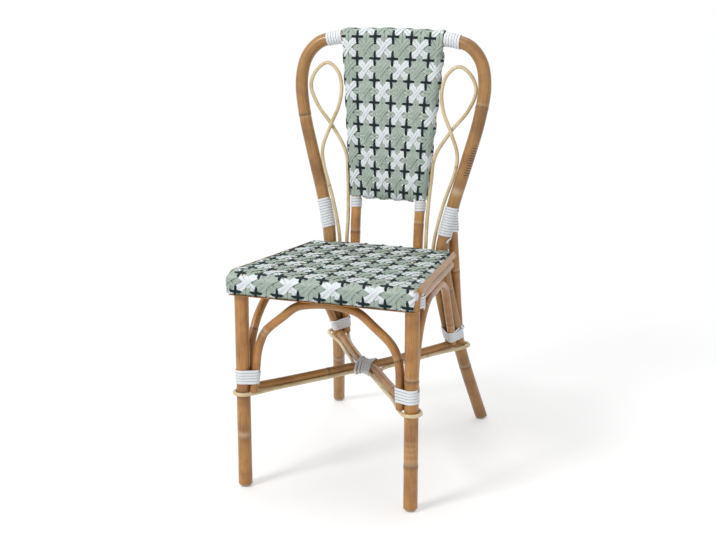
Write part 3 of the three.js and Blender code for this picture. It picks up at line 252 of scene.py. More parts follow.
# how each pole has grown, in mm
growth = {
    "ring": (0.6, 0, 3.5),  # at a node: amount, place beyond it and half width
    "dip": (-0.25, 6, 3),
    "darkLine": (0.8, 2.5, 2.1),
    "paleBand": (0.24, 8, 3),
    "waves": ((0.008, 71), (0.005, 23)),  # shares of the thickness, and the lengths they vary over
    "fullRing": 14,  # a pole thinner than this radius has a lower ring
    "endStep": 0.2,  # a short, narrower last step rounds an end off
    "endSize": 0.93,
    "tickFade": 8,  # a row of ticks fades at its ends and round the pole
    "tickSide": 0.55,
    "tickSharpness": 5,
}


def nodeMark(kind, place, at):
    amount, beyond, half = growth[kind]
    return amount * math.exp(-((place - at - beyond) / half) ** 2)


def bendPole(name, pole, nodes, material):
    radius = pole["radius"]
    closed = pole.get("closed", False)
    run = smoothRun(pole["points"], closed=closed)
    if not closed:
        first = run[0] + (run[1] - run[0]) * growth["endStep"]
        last = run[-1] + (run[-2] - run[-1]) * growth["endStep"]
        run = np.concatenate([run[:1], [first], run[1:-1], [last], run[-1:]])
    along = lengthsAlong(run)
    swell = np.array([sum(nodeMark("ring", place, at) + nodeMark("dip", place, at)
                          for at in pole.get("knots", ())) for place in along])
    wander = sum(share * np.sin(along / length + shift)
                 for (share, length), shift in zip(growth["waves"], (len(name), radius)))
    size = 1 + wander + swell / radius * min(radius / growth["fullRing"], 1)
    if "thin" in pole:  # pared down to a share of its thickness towards its start
        share, reach = pole["thin"]
        size *= share + (1 - share) * np.minimum(along / reach, 1)
    if not closed:
        size[0] *= growth["endSize"]
        size[-1] *= growth["endSize"]
    deselectAll()
    bpy.ops.curve.primitive_nurbs_path_add()
    guide = bpy.context.object  # the path gives way to the pole's own run
    guide.data.splines.clear()
    line = guide.data.splines.new("POLY")
    line.points.add(len(run) - 1)
    line.points.foreach_set("co", np.hstack([run * mm, np.ones((len(run), 1))]).ravel())
    line.points.foreach_set("radius", size)
    line.use_cyclic_u = closed
    guide.data.bevel_depth = radius * mm
    guide.data.bevel_resolution = pole.get("rounds", 7)
    guide.data.use_fill_caps = True
    bpy.ops.object.convert(target="MESH")
    piece = bpy.context.object
    piece.name = name
    enter("EDIT")
    bpy.ops.mesh.select_all(action="SELECT")
    bpy.ops.mesh.remove_doubles(threshold=0.01 * mm)
    bpy.ops.mesh.normals_make_consistent(inside=False)
    if "cutAt" in pole:  # sawn level where it stands
        bpy.ops.mesh.bisect(plane_co=(0, 0, pole["cutAt"] * mm), plane_no=(0, 0, 1),
                            use_fill=True, clear_inner=True)
    enter("OBJECT")
    bpy.ops.object.shade_smooth_by_angle(angle=math.radians(40))
    markGrain(piece, run, along, pole, closed)
    handOver(piece, nodes, material)


def markGrain(piece, run, along, pole, closed=False):
    # the pole straightened out: where each point lies across it and along it, and how it is marked there
    ahead = directionsAlong(run, closed)
    side = np.cross(ahead[0], (0.3, 0.5, 0.81))  # no pole starts in that direction
    sides = []
    for direction in ahead:
        side = unit(side - direction * side.dot(direction))
        sides.append(side)
    ups = np.cross(ahead, sides)
    tree = KDTree(len(run))
    for i, point in enumerate(run):
        tree.insert(point, i)
    tree.balance()
    start = random.uniform(0, 3)  # no two poles are cut from the same length
    knots = pole.get("knots", ())
    grain, knot, scar, ticks = [], [], [], []
    for vertex in piece.data.vertices:
        point = np.array(vertex.co) / mm
        i = tree.find(point)[1]
        off = point - run[i]
        away = off / max(np.linalg.norm(off), 1e-6)
        place = along[i] + off.dot(ahead[i])
        grain += [off.dot(sides[i]) * mm, off.dot(ups[i]) * mm, place * mm + start]
        knot.append(max([nodeMark("darkLine", place, at) for at in knots], default=0))
        scar.append(max([amount * math.exp(-((place - at) / half) ** 2) * away.dot(facing)
                         for at, half, facing, amount in pole.get("scars", ())]
                        + [nodeMark("paleBand", place, at) for at in knots] + [0]))
        ticks.append(max([eased((half - abs(place - at)) / growth["tickFade"])
                          * eased((away.dot(facing) - growth["tickSide"]) * growth["tickSharpness"])
                          for at, half, facing in pole.get("ticks", ())], default=0))
    addLayer(piece.data, "grain", grain, "FLOAT_VECTOR", "vector")
    for key, values in (("knot", knot), ("scar", scar), ("ticks", ticks)):
        addLayer(piece.data, key, values)


hoopPole = {
    "radius": 14,
    "cutAt": 5.3,
    "points": acrossChair([
        (184.8, 290.8, -6), (152.9, 203.7, 185.1), (142.5, 155.7, 296.8), (134.5, 108.7, 404.9),
        (131.5, 98.8, 445), (136, 103.8, 480.9), (152.9, 111.8, 553.1), (181.1, 119.8, 654.7),
        (202.9, 126.8, 740), (211.5, 133.8, 812), (200.9, 139.8, 862.1), (174.5, 144.8, 892.8),
        (141.7, 147.3, 904), (74, 148.8, 909.1), (0, 148.8, 911),
    ]),
    "knots": (172, 398, 825, 1106, 1490, 1738, 1946, 2120),  # nodes, in mm along the pole
    "scars": ((637, 8, (0, -1, 0), 0.55),),  # place, half length, side and amount
    "ticks": ((708, 40, (0.93, -0.36, 0)),),
}
bendPole("back_pole", hoopPole, ["back_hoop"], paintedShadeHoopRattan)

frontLeg = {
    "radius": 14.5,
    "points": [(182, -271.5, 5.3), (182, -271.5, 440)],
}
bendPole("front_leg_right", {
    **frontLeg,
    "knots": (88, 94, 268),
    "scars": [(at, 1.4, (0.1, -0.99, 0), 0.22) for at in range(108, 150, 6)],
}, ["leg_right"], rattan)
bendPole("front_leg_left", {
    **frontLeg,
    "points": mirrored(frontLeg["points"]),
    "knots": (196,),
    "scars": ((113, 5, (0.2, -0.98, 0), 0.5),),
}, ["leg_left"], rattan)

# poles with a left and a right one, whose knots differ so that the two aren't twins
pairedPoles = {
    "rear_post": {"radius": 11.5, "node": "post", "knots": ((66,), (140,)), "thin": (0.6, 150), "points": [
        (154, 181, 258), (151.5, 161.5, 330), (149.1, 137.1, 433), (149.1, 115.1, 527)]},
    # the uprights take the rattan copy with painted light
    "panel_upright": {"radius": 11, "node": "upright", "knots": ((66,), (92,)), "material": paintedLightRattan,
                      "points": [(74, 104, 409), (74.3, 110.2, 492.8), (75.8, 120.1, 562.2),
                                 (89.9, 134, 720.8), (104, 148.8, 909.1)]},
    "side_arch": {"radius": 9, "node": "arch", "knots": ((120, 402), (212, 560)), "points": [
        (179.8, -247.9, 212.3), (179.6, -245.8, 261.5), (178.7, -236.7, 302.6), (176.3, -210.6, 351.1),
        (172.1, -165.1, 388.6), (168, -119.6, 404.4), (162.6, -61.7, 402.3), (156.5, 4.5, 399.9),
        (151.9, 54.2, 379.5), (149.1, 85.2, 343.4), (146.8, 110.4, 304.2), (143.9, 141, 261.6),
        (140.8, 162, 230.3), (142.6, 169.7, 212.3)]},
    "side_bearer": {"radius": 11, "node": "bearer", "knots": ((150,), (230,)),
                    "points": [(183.5, -260, 434), (149.4, 98.8, 421)]},
    "seat_side_rail": {"radius": 9.5, "node": "seat_rail", "knots": ((180,), (120,)),
                       "points": [(193.7, -284.7, 455.8), (152.2, 68.2, 444.7)]},
}
for name, pole in pairedPoles.items():
    for side, points, knots in (("left", mirrored(pole["points"]), pole["knots"][0]),
                                ("right", pole["points"], pole["knots"][1])):
        bendPole(f"{name}_{side}", {**pole, "points": points, "knots": knots},
                 [f"{pole['node']}_{side}"], pole.get("material", rattan))

singlePoles = {
    "front_arch": {"radius": 9, "node": "arch_front", "knots": (96, 446), "points": acrossChair([
        (158.2, -271.5, 212.3), (158.2, -269.7, 226.1), (155.8, -265.8, 255.7), (153.5, -261.1, 291.2),
        (148.7, -258.5, 312.9), (136.1, -258.5, 339.5), (98.1, -258.5, 374), (66.4, -258.5, 398.6),
        (34.8, -258.5, 406.5), (0, -258.5, 409.5)]), "scars": ((446, 4, (0, -1, 0), 0.45),)},
    "rear_arch": {"radius": 9, "node": "arch_rear", "knots": (150, 372), "points": acrossChair([
        (126.5, 191.9, 212.3), (122, 170.8, 261.5), (118.1, 149.6, 310.6), (112.1, 129.1, 359.8),
        (94.4, 113.1, 391.3), (73.2, 105.8, 404), (35.4, 104, 408.6), (0, 104, 409)])},
    "front_stretcher": {
        "radius": 9.5, "node": "stretcher_front", "knots": (122, 398), "points": acrossChair([
            (182, -271.5, 215), (130.4, -196.1, 211.9), (78.8, -120.6, 210), (44.4, -70.3, 209.2),
            (32.1, -52.9, 209.1), (23.9, -43.9, 209), (16.9, -38, 209), (8.9, -33.6, 209),
            (0, -31.9, 209)])},
    "rear_stretcher": {
        "radius": 9.5, "node": "stretcher_rear", "knots": (160, 350), "points": acrossChair([
            (149.5, 190.7, 215), (107.2, 126.8, 211.9), (64.9, 62.8, 210), (36.7, 20.2, 209.2),
            (26.6, 5.5, 209.1), (19.9, -2.3, 209), (14.1, -7.3, 209), (7.5, -11.1, 209), (0, -12.6, 209)])},
    "front_cross_bearer": {"radius": 11, "node": "bearer_front", "knots": (120,),
                           "points": [(-171.9, -258.5, 429.8), (171.9, -258.5, 429.8)]},
    "seat_front_rail_high": {"radius": 9.5, "node": "seat_rail_front_upper", "knots": (260,),
                             "points": [(-196, -284.7, 455.8), (196, -284.7, 455.8)]},
    "seat_front_rail_low": {"radius": 9.5, "node": "seat_rail_front_lower", "knots": (140,),
                            "points": [(-196, -284.7, 436.5), (196, -284.7, 436.5)]},
    "seat_rear_rail": {"radius": 9.5, "node": "seat_rail_rear", "knots": (90,), "points": acrossChair([
        (-144.1, 68.2, 444.7), (-115.3, 73.4, 444.5), (-86.5, 77.5, 444.4), (-57.6, 80.4, 444.3),
        (-28.8, 82.1, 444.3), (0, 82.7, 444.3)])},
    "panel_foot_rail": {"radius": 9, "node": "panel_rail", "knots": (70,),
                        "points": [(-76.3, 120.5, 567.3), (76.3, 120.5, 567.3)]},
}
for name, pole in singlePoles.items():
    bendPole(name, pole, [pole["node"]], rattan)
print("rattan poles bent")

loopCane = {
    "radius": 4,
    "rounds": 4,
    "points": [
        (109, 103.5, 430), (111.6, 104.8, 465.6), (119.7, 108.1, 509.3), (130.6, 110.9, 553),
        (157.5, 119.7, 653), (139.4, 124.5, 712), (121.2, 128.2, 756), (116.2, 133.8, 800),
        (127.3, 138.2, 833), (151.4, 141.2, 850), (178.1, 140.8, 833), (191.2, 139, 800),
        (174.5, 136.8, 756), (139.4, 133.1, 712), (104, 128.3, 653), (98, 124.3, 603), (94.5, 117.8, 553),
        (92.9, 110.4, 500.5), (93.3, 104.8, 465.6), (93.6, 103.5, 430),
    ],
}
bendPole("loop_cane_right", {**loopCane, "knots": (210, 700)}, ["loop_right"], paleCane)
bendPole("loop_cane_left", {**loopCane, "points": mirrored(loopCane["points"]), "knots": (150, 620)},
         ["loop_left"], paleCane)

ringCane = {"radius": 4, "rounds": 4, "closed": True, "knots": (240, 780, 1330), "points": acrossChair([
    (0.1, -44.1, 202), (8, -46.8, 202), (17.2, -54.5, 202.1), (34.3, -77.2, 202.2), (68.7, -127.5, 203),
    (120.3, -203, 204.9), (166.2, -282.4, 208), (178.5, -290.4, 208), (192.8, -287.4, 208),
    (200.8, -275.1, 208), (197.8, -260.7, 208), (140.5, -189.2, 204.9), (97.5, -126.3, 203.2),
    (63.1, -76, 202.4), (34, -22.2, 202), (54.2, 24.9, 202.4), (82.6, 68.1, 203.2), (118, 122.2, 204.9),
    (168.6, 181.8, 208), (171.7, 198.2, 208), (162.3, 212, 208), (145.9, 215.1, 208), (132, 205.7, 208),
    (97.5, 135.6, 204.9), (55, 70.7, 203), (26.7, 27.5, 202.2), (12.8, 8, 202.1), (5.5, 1.7, 202),
    (0, -0.4, 202),
])}
bendPole("stretcher_ring_cane", ringCane, ["cane_ring"], paleCane)
print("canes bent")


# a woven strand changes height over each crossing, and no curve bevel keeps it flat there,
# so bands are built in code from one section with rounded edges
bandSides = 8
edgeFullness = 0.8  # 1 would be an ellipse
bandRound = [(math.copysign(abs(math.cos(t)) ** edgeFullness, math.cos(t)), math.sin(t) * 0.5)
             for t in [2 * math.pi * (k + 0.5) / bandSides for k in range(bandSides)]]
toneShift = 0.0131  # gives each band its own place in the noise of its tone


class Bands:
    # collects many closed bands as one mesh

    def __init__(self):
        self.points, self.faces, self.marks, self.finishes = [], [], [], []

    def add(self, centres, outs, width, thickness, finish=0):
        centres = np.array(centres, float)
        ahead = directionsAlong(centres)
        outs = np.array(outs, float)
        outs = outs - ahead * (outs * ahead).sum(1)[:, None]
        outs = outs / np.linalg.norm(outs, axis=1)[:, None]
        right = np.cross(ahead, outs)
        along = lengthsAlong(centres) * mm + random.uniform(0, 5)
        first = len(self.points)
        widths = np.broadcast_to(width, len(centres))
        for i in range(len(centres)):
            for x, y in bandRound:
                self.points.append((centres[i] + right[i] * x * widths[i] / 2
                                    + outs[i] * (y + 0.5) * thickness) * mm)
                self.marks += [x / 2, along[i], first * toneShift]
        for i in range(len(centres) - 1):
            a, b = first + i * bandSides, first + (i + 1) * bandSides
            for k in range(bandSides):
                n = (k + 1) % bandSides
                self.faces.append((a + k, b + k, b + n, a + n))
        last = len(self.points) - bandSides
        self.faces.append(tuple(range(first, first + bandSides)))
        self.faces.append(tuple(last + k for k in reversed(range(bandSides))))
        self.finishes += [finish] * ((len(centres) - 1) * bandSides + 2)

    def finish(self, name, nodes, slot, materials):
        mesh = bpy.data.meshes.new(name)
        mesh.from_pydata(self.points, [], self.faces)
        piece = bpy.data.objects.new(name, mesh)
        bpy.context.scene.collection.objects.link(piece)
        addLayer(mesh, "strand", self.marks, "FLOAT_VECTOR", "vector")
        handOver(piece, nodes, materials[0])
        for material in materials[1:]:
            mesh.materials.append(material)
        mesh.polygons.foreach_set("material_index", self.finishes)
        deselectAll()
        piece.select_set(True)
        bpy.context.view_layer.objects.active = piece
        bpy.ops.object.shade_smooth_by_angle(angle=math.radians(60))
        return piece


# the weave has dark cross and upright strands, sage pairs between them and two ways of slanting pairs
weave = {
    "dark": 5.7,  # width in mm; the others are shares of the column pitch
    "sage": 0.183,
    "slant": 0.13,
    "swell": 0.062,  # a slanting strand is drawn in at a crossing and swells beside it
    "swellAt": 0.2,
    "swellHalf": 0.13,
    "thickness": 1.4,
    # heights above the sheet's foot in mm, where dark strands cross and midway
    "crossDark": 2.8,
    "uprightDark": 4,
    "crossSage": (1.35, 0),
    "uprightSage": 1.35,
    "lowerSlant": (0, 2.75),
    "upperSlant": (1.3, 4.1),
    "slantSharpness": 1.4,
    "bridge": 0.2,  # a dark strand stays up so far from a crossing, then comes down
    "ramp": 0.16,
    "waver": 0.12,  # no strand lies quite level
    "waverTurns": 5,
    "stepsPerPitch": 8,
    "leastStep": 0.02,
    "halvings": 10,  # to find where a strand meets the sheet's edge
}
sage, dark, white = 0, 1, 2


def level(distance, heights, sharp=1):
    atCrossing, midway = heights
    return between(midway, atCrossing, (math.cos(math.pi * distance) ** 2) ** sharp)


def bridge(distance, height):
    # a dark strand goes over the slanting pairs at a crossing and under the sage pairs midway
    off = abs(distance - round(distance))
    return height * (1 - eased((off - weave["bridge"]) / weave["ramp"]))


def lattice(rows, b):
    # place, pitch and middle column at any row, carried on past the first and the last
    i = min(max(int(math.floor(b)), 0), len(rows) - 2)
    place = between(rows[i][0], rows[i + 1][0], b - i)
    share = min(max(b - i, 0), 1)
    return place, *[between(rows[i][k], rows[i + 1][k], share) for k in (1, 2)]


def weaveSheet(name, node, sheet, spot, inside):
    # spot gives a place in space from column, row and height, and inside tells if the sheet reaches there
    bands = Bands()
    steps = weave["stepsPerPitch"]
    columns, rows, rowPitch = sheet["columns"], sheet["rowSpan"], sheet["rowPitch"]
    sageShare = weave["sage"] * sheet["fullness"]

    def pitchAt(b):
        return lattice(sheet["rows"], b)[1]

    def edgeOf(route, t, u):
        # where a strand that is on the sheet at t and off it at u meets the sheet's edge
        for halving in range(weave["halvings"]):
            middle = (t + u) / 2
            if inside(*route(middle)[:2]):
                t = middle
            else:
                u = middle
        return t

    def lay(route, span, widthAt, finish):
        # route gives column, row and height; a strand that leaves the sheet and comes back is two runs
        shake = random.uniform(0, 6)
        count = int((span[1] - span[0]) * steps)
        places = [span[0] + k / steps for k in range(count + 1)]
        runs, before = [], False
        for t, last in zip(places, [places[0]] + places[:-1]):
            now = inside(*route(t)[:2])
            if now and not before:
                runs.append([edgeOf(route, t, last)] if t != last else [])
            if now:
                if not runs[-1] or t - runs[-1][-1] > weave["leastStep"]:
                    runs[-1].append(t)
            elif before:
                end = edgeOf(route, last, t)
                if end - runs[-1][-1] > weave["leastStep"]:
                    runs[-1].append(end)
            before = now
        for run in runs:
            if len(run) > 3:
                centres, outs = [], []
                for t in run:
                    a, b, high = route(t)
                    high += weave["waver"] * math.sin(weave["waverTurns"] * t + shake)
                    here = spot(a, b, high)
                    centres.append(here)
                    outs.append(spot(a, b, high + 0.5) - here)
                bands.add(centres, outs, [widthAt(t) for t in run], weave["thickness"], finish)

    def swelling(t):
        beside = math.exp(-((abs(t - round(t)) - weave["swellAt"]) / weave["swellHalf"]) ** 2)
        return (weave["slant"] + weave["swell"] * beside) * sheet["fullness"] * pitchAt(t)

    for j in range(rows[0], rows[1] + 1):
        width = sageShare * pitchAt(j + 0.5)
        lay(lambda t: (t, j, bridge(t, weave["crossDark"])), columns, lambda t: weave["dark"], dark)
        for apart in (-0.5, 0.5):
            lay(lambda t: (t, j + 0.5 + apart * width / rowPitch, level(t, weave["crossSage"])),
                columns, lambda t: width, sage)
    for i in range(columns[0], columns[1] + 1):
        lay(lambda t: (i, t, bridge(t, weave["uprightDark"])), rows, lambda t: weave["dark"], dark)
        for apart in (-0.5, 0.5):
            lay(lambda t: (i + 0.5 + apart * sageShare, t, weave["uprightSage"]),
                rows, lambda t: sageShare * pitchAt(t), sage)
    for turn, layer in ((-sheet["upperTurn"], "lowerSlant"), (sheet["upperTurn"], "upperSlant")):
        ends = [c - turn * r for c in columns for r in rows]
        for line in range(min(ends), max(ends) + 1):
            finish = white if (line + (turn > 0)) % 2 == sheet["whiteLines"] else sage
            for apart in (-0.5, 0.5):
                def slant(t):
                    aside = apart * swelling(t) * math.hypot(1 / rowPitch, 1 / pitchAt(t))
                    return line + turn * t + aside, t, level(t, weave[layer], weave["slantSharpness"])
                lay(slant, rows, swelling, finish)
    piece = bands.finish(name, [node], node, [sageStrand, darkStrand, whiteStrand])
    print(node, "woven:", len(piece.data.polygons), "faces")


seat = {
    "frontY": -298.55, "depth": 383, "endY": 96.45, "bow": 726.5,  # bow is the rear edge's radius
    "height": 470, "fall": 12, "frontWidth": 416, "rearWidth": 326,
    "under": 422.67, "rearRise": 27.6, "roll": 18, "fold": 4, "lip": 11, "trim": 2.9,
    "edgeRound": 8, "rearEdgeRound": 14, "edgeDrop": 7, "sheet": 4.3,
    "edgeLine": 150,  # the outline this far from the middle stands for both sides
    "roundFrom": 10, "roundOver": 30,  # the sides get rounder at the turn to the rear
    "cutFrom": 127, "cut": 12,  # beside the rear poles the rear lip is shorter
    "askew": (-6, 5),  # the right edge lies further in at the front and further out at the rear
    # each dark cross strand: its place along the sheet, the column pitch and the middle column there
    "rows": ((16.8, 45.5, -1.5), (59.8, 44.3, 1), (107.4, 43.4, 1.5), (154.9, 42.7, 1), (201.9, 41.8, 1.4),
             (249.9, 41.4, 0.5), (298.4, 41, 1), (343.9, 40.8, 0.8), (390.4, 40.9, 1.5), (436.4, 40.9, 1)),
    "rowPitch": 47, "rowSpan": (-1, 11), "columns": (-6, 6), "fullness": 1.13,
    "upperTurn": 1, "whiteLines": 1,  # which slanting pairs lie on top, and which are white
}


def seatTop(y):
    return seat["height"] - seat["fall"] * (y - seat["frontY"]) / seat["depth"]


def seatHalf(y, sign=-1):
    share = (y - seat["frontY"]) / seat["depth"]
    half = between(seat["frontWidth"], seat["rearWidth"], share) / 2
    return half + (between(*seat["askew"], share) if sign > 0 else 0)


def roundedLine(corners):
    # straight runs and rounds, each with its length and what gives place and outward direction along it
    runs = []
    here = np.array(corners[0][:2], float)
    for i in range(1, len(corners)):
        corner = np.array(corners[i][:2], float)
        ahead = unit(corner - here)
        out = np.array([-ahead[1], ahead[0]])
        radius = corners[i][2]
        if radius:
            after = unit(np.array(corners[i + 1][:2], float) - corner)
            half = math.acos(max(min(ahead.dot(after), 1), -1)) / 2
            reach = radius * math.tan(half)
        else:
            half = reach = 0
        length = np.linalg.norm(corner - here) - reach
        runs.append((length, lambda s, a=here, d=ahead, n=out: (a + d * s, n)))
        if radius:
            start = corner - ahead * reach
            centre = start - out * radius

            def bend(s, c=centre, n=out, d=ahead, r=radius):
                angle = s / r
                away = n * math.cos(angle) + d * math.sin(angle)
                return c + away * r, away
            runs.append((2 * half * radius, bend))
            here = corner + after * reach
    return runs


def walk(runs, s):
    for length, place in runs[:-1]:
        if s <= length:
            return place(s)
        s -= length
    return runs[-1][1](s)


seatLines = {}


def seatLine(x):
    # the sheet's outline from front lip to rear lip in one upright plane
    key = round(x)
    if key not in seatLines:
        front, under, fold = seat["frontY"], seat["under"], seat["fold"]
        reach = min(abs(key), seat["rearWidth"] / 2)
        rear = seat["endY"] - seat["bow"] + math.sqrt(seat["bow"] ** 2 - reach ** 2)
        low = seatTop(rear) - seat["rearRise"]
        seatLines[key] = roundedLine([
            (front + seat["lip"], under, 0), (front, under, fold),
            (front, seatTop(front), seat["roll"]), (rear, seatTop(rear), seat["roll"]),
            (rear, low, fold), (rear - seat["lip"], low, 0),
        ])
    return seatLines[key]


seatLength = sum(length for length, place in seatLine(0))
seatTurn = seatLength - seat["lip"] - seat["rearRise"] - seat["roll"]


def seatEdge(s, sign):
    place, out = walk(seatLine(seat["edgeLine"]), min(max(s, 0), seatLength))
    share = eased((s - seatTurn + seat["roundFrom"]) / seat["roundOver"])
    rounding = between(seat["edgeRound"], seat["rearEdgeRound"], share)
    return seatHalf(place[0], sign) - seat["trim"] - rounding, rounding


def seatPlace(a, b):
    s, pitch, middle = lattice(seat["rows"], b)
    return a * pitch + middle, s


def seatSpot(a, b, high):
    x, s = seatPlace(a, b)
    edge, rounding = seatEdge(s, x)
    flat = max(min(x, edge), -edge)
    place, out = walk(seatLine(flat), s)
    lift = high - seat["sheet"]
    beyond = abs(x) - edge
    if beyond <= 0:
        y, z = place + out * lift
        return np.array([x, y, z])
    angle = min(beyond / rounding, math.pi / 2)
    drop = beyond - angle * rounding
    y, z = place - out * rounding + out * (rounding + lift) * math.cos(angle) - out * drop
    return np.array([math.copysign(edge + (rounding + lift) * math.sin(angle), x), y, z])


def seatInside(a, b):
    x, s = seatPlace(a, b)
    if s < 0 or s > seatLength - seat["cut"] * (abs(x) > seat["cutFrom"]):
        return False
    edge, rounding = seatEdge(s, x)
    return abs(x) < edge + rounding * math.pi / 2 + seat["edgeDrop"]


weaveSheet("seat_strands", "seat_weave", seat, seatSpot, seatInside)

panel = {
    "foot": (76.3, 120.5, 567.3), "head": (104, 148.8, 909.1), "relief": 0.85,
    "poleRound": 11.3, "hoopRound": 14.3,  # from a pole's middle to the sheet's foot
    "turn": 5.2, "wrap": 3,  # the sheet turns by this angle, measured 3 mm further out
    "railEnd": 58, "railOver": 10, "skirt": 9,
    "droop": 0.9,  # the lower rows sink to the right
    "hoopFrom": 12, "hoopReach": 115, "hoopBlend": 45,
    "besideHoop": 30, "faceWidth": 12.5,  # beside the hoop a strand ends on the upright's face
    "turnFrom": 8, "turnOver": 22,
    "crown": 1.9, "crownHalf": 74,  # the hoop's crown rises a little
    # from the top down: place up the panel, column pitch and middle column of each dark cross strand
    "rows": ((342, 41.6, 5), (295, 40.9, 3.5), (248, 39.5, 2.7), (199.5, 38.5, 2.8), (150, 37.3, 3.2),
             (100, 35.8, 4.2), (53, 34.7, 5.4), (6, 32.9, 6.5)),
    "rowPitch": 48, "rowSpan": (-3, 10), "columns": (-6, 6), "fullness": 1,
    "upperTurn": -1, "whiteLines": 0,
}
panelUp = np.array([0, panel["head"][1] - panel["foot"][1], panel["head"][2] - panel["foot"][2]])
panelTall = float(np.linalg.norm(panelUp))
panelUp = panelUp / panelTall
panelOut = np.array([0, -panelUp[2], panelUp[1]])


def panelPlace(a, b):
    v, pitch, middle = lattice(panel["rows"], b)
    return a * pitch + middle, v - panel["droop"] * a * eased(b / (len(panel["rows"]) - 1))


def panelHalf(v):
    return between(panel["foot"][0], panel["head"][0], min(max(v / panelTall, 0), 1))


def panelSpot(a, b, high):
    x, v = panelPlace(a, b)
    share = min(v / panelTall, 1)
    half = panelHalf(v)
    pole, hoop, wrap = panel["poleRound"], panel["hoopRound"], panel["wrap"]
    lift = high * panel["relief"]

    def turnedBy(angle, reach):
        return reach * (math.cos(angle) * panelOut + math.sin(angle) * panelUp)
    crown = panel["crown"] * (1 - min(abs(x) / panel["crownHalf"], 1) ** 2) * max(share, 0) ** 4
    centre = np.array([x, panel["foot"][1], panel["foot"][2] + crown]) + panelUp * panelTall * share
    if v > panelTall:
        return centre + turnedBy((v - panelTall) / (hoop + wrap), hoop + lift)
    reach = lift + between(pole, hoop, eased((v - panelTall) / panel["hoopBlend"] + 1))
    spot = centre + panelOut * reach
    if abs(x) > half:
        angle = (abs(x) - half) / (pole + wrap)
        inwards = (half - abs(x) + reach * math.sin(angle)) * math.copysign(1, x)
        turned = centre + np.array([inwards, 0, 0]) + panelOut * reach * math.cos(angle)
        spot = between(spot, turned, eased((panelTall - v - panel["turnFrom"]) / panel["turnOver"]))
    if v < 0:
        under = centre - panelUp * v + turnedBy(v / (pole + wrap), pole + lift)
        spot = between(under, spot, eased((abs(x) - panel["railEnd"]) / panel["railOver"]))
    return spot


def panelInside(a, b):
    x, v = panelPlace(a, b)
    half = panelHalf(v)
    if v > panelTall - panel["hoopFrom"]:
        over = (panel["hoopRound"] + panel["wrap"]) * panel["turn"]
        return abs(x) < panel["hoopReach"] and v < panelTall + over
    if v < -panel["skirt"]:
        return abs(x) < panel["railEnd"] and v > -(panel["poleRound"] + panel["wrap"]) * panel["turn"]
    if v > panelTall - panel["besideHoop"]:
        return abs(x) < half + panel["faceWidth"]
    return abs(x) < half + (panel["poleRound"] + panel["wrap"]) * panel["turn"]


weaveSheet("back_strands", "back_weave", panel, panelSpot, panelInside)


# each lashing is one unbroken strand wound round a bundle of poles
binding = {
    "width": 5.8, "thickness": 1.5, "pitch": 6.0, "gap": 0.2, "stepsPerTurn": 40,
    "tuck": 2.4, "tuckRate": 9,  # an end dives under its neighbour over a ninth of a turn
    "leastLean": 0.5,  # a slanting pole's section is stretched no more than this allows
    "tailTurn": -0.25,
}


def sectionAt(member, view, s):
    # the round that a pole makes in one plane across the winding
    run, radius = member
    origin, axis, across, up = view
    along = (run - origin) @ axis - s
    best = None
    for i in np.nonzero(along[:-1] * along[1:] <= 0)[0]:
        if along[i] == along[i + 1]:
            continue
        t = along[i] / (along[i] - along[i + 1])
        at = run[i] + (run[i + 1] - run[i]) * t - origin
        step = run[i + 1] - run[i]
        lean = abs(step.dot(axis)) / np.linalg.norm(step)
        found = (at.dot(across), at.dot(up), radius / max(lean, binding["leastLean"]))
        if best is None or math.hypot(*found[:2]) < math.hypot(*best[:2]):
            best = found
    return best


def windStrand(name, members, origin, axis, turns, start=binding["width"] / 2, tail=()):
    axis = unit(np.array(axis, float))
    origin = np.array(origin, float)
    sideways = abs(axis[0]) > math.sqrt(0.5)
    wanted = np.array([0, 1, 0] if sideways else [1, 0, 0], float)
    across = unit(wanted - axis * wanted.dot(axis))
    up = np.cross(axis, across)
    total = int(turns * binding["stepsPerTurn"])
    centres, outs = [], []
    for k in range(total + 1):
        angle = 2 * math.pi * k / binding["stepsPerTurn"]
        s = start + binding["pitch"] * angle / (2 * math.pi)
        disks = [d for d in (sectionAt(m, (origin, axis, across, up), s) for m in members) if d]
        u, v, radius = max(disks, key=lambda d: d[0] * math.cos(angle) + d[1] * math.sin(angle) + d[2])
        out = across * math.cos(angle) + up * math.sin(angle)
        end = min(k + total * bool(tail), total - k) / binding["stepsPerTurn"]
        tuck = binding["tuck"] * (1 - eased(end * binding["tuckRate"]))
        reach = radius + binding["gap"] - tuck
        centres.append(origin + axis * s + across * u + up * v + out * reach)
        outs.append(out)
    centres = [centres[0] + np.array(step) for step in tail] + centres  # a loose end hangs out
    outs = [outs[0] + np.array([0, binding["tailTurn"], 0]) * i for i in range(len(tail), 0, -1)] + outs
    bands = Bands()
    bands.add(centres, outs, binding["width"], binding["thickness"])
    bands.finish(name.replace("binding", "lashing"), [name], "binding", [lashing])


def part(pole, keep=None):
    run = smoothRun(pole["points"])
    if keep is not None:
        run = run[[keep(p) for p in run]]
    return run, pole["radius"]


# what the lashings go round besides the bent poles
postHead = {"radius": 11.5, "points": [(149, 123, 493), (149.1, 113.7, 533)]}
postFoot = {"radius": 8, "points": [(154.6, 183.5, 249), (151.5, 161.5, 330)]}
legTop = {"place": (182, -271.5), "reach": 13, "round": 1.5, "rounds": 14, "past": 0.08,
          "beside": (192.5, -258, 9.5), "span": (380, 470)}
looseEnd = [(-5, -12.5, -9), (-4.5, -11.6, -5.5), (-3, -9.4, -3), (-1.2, -5.5, -1.2)]

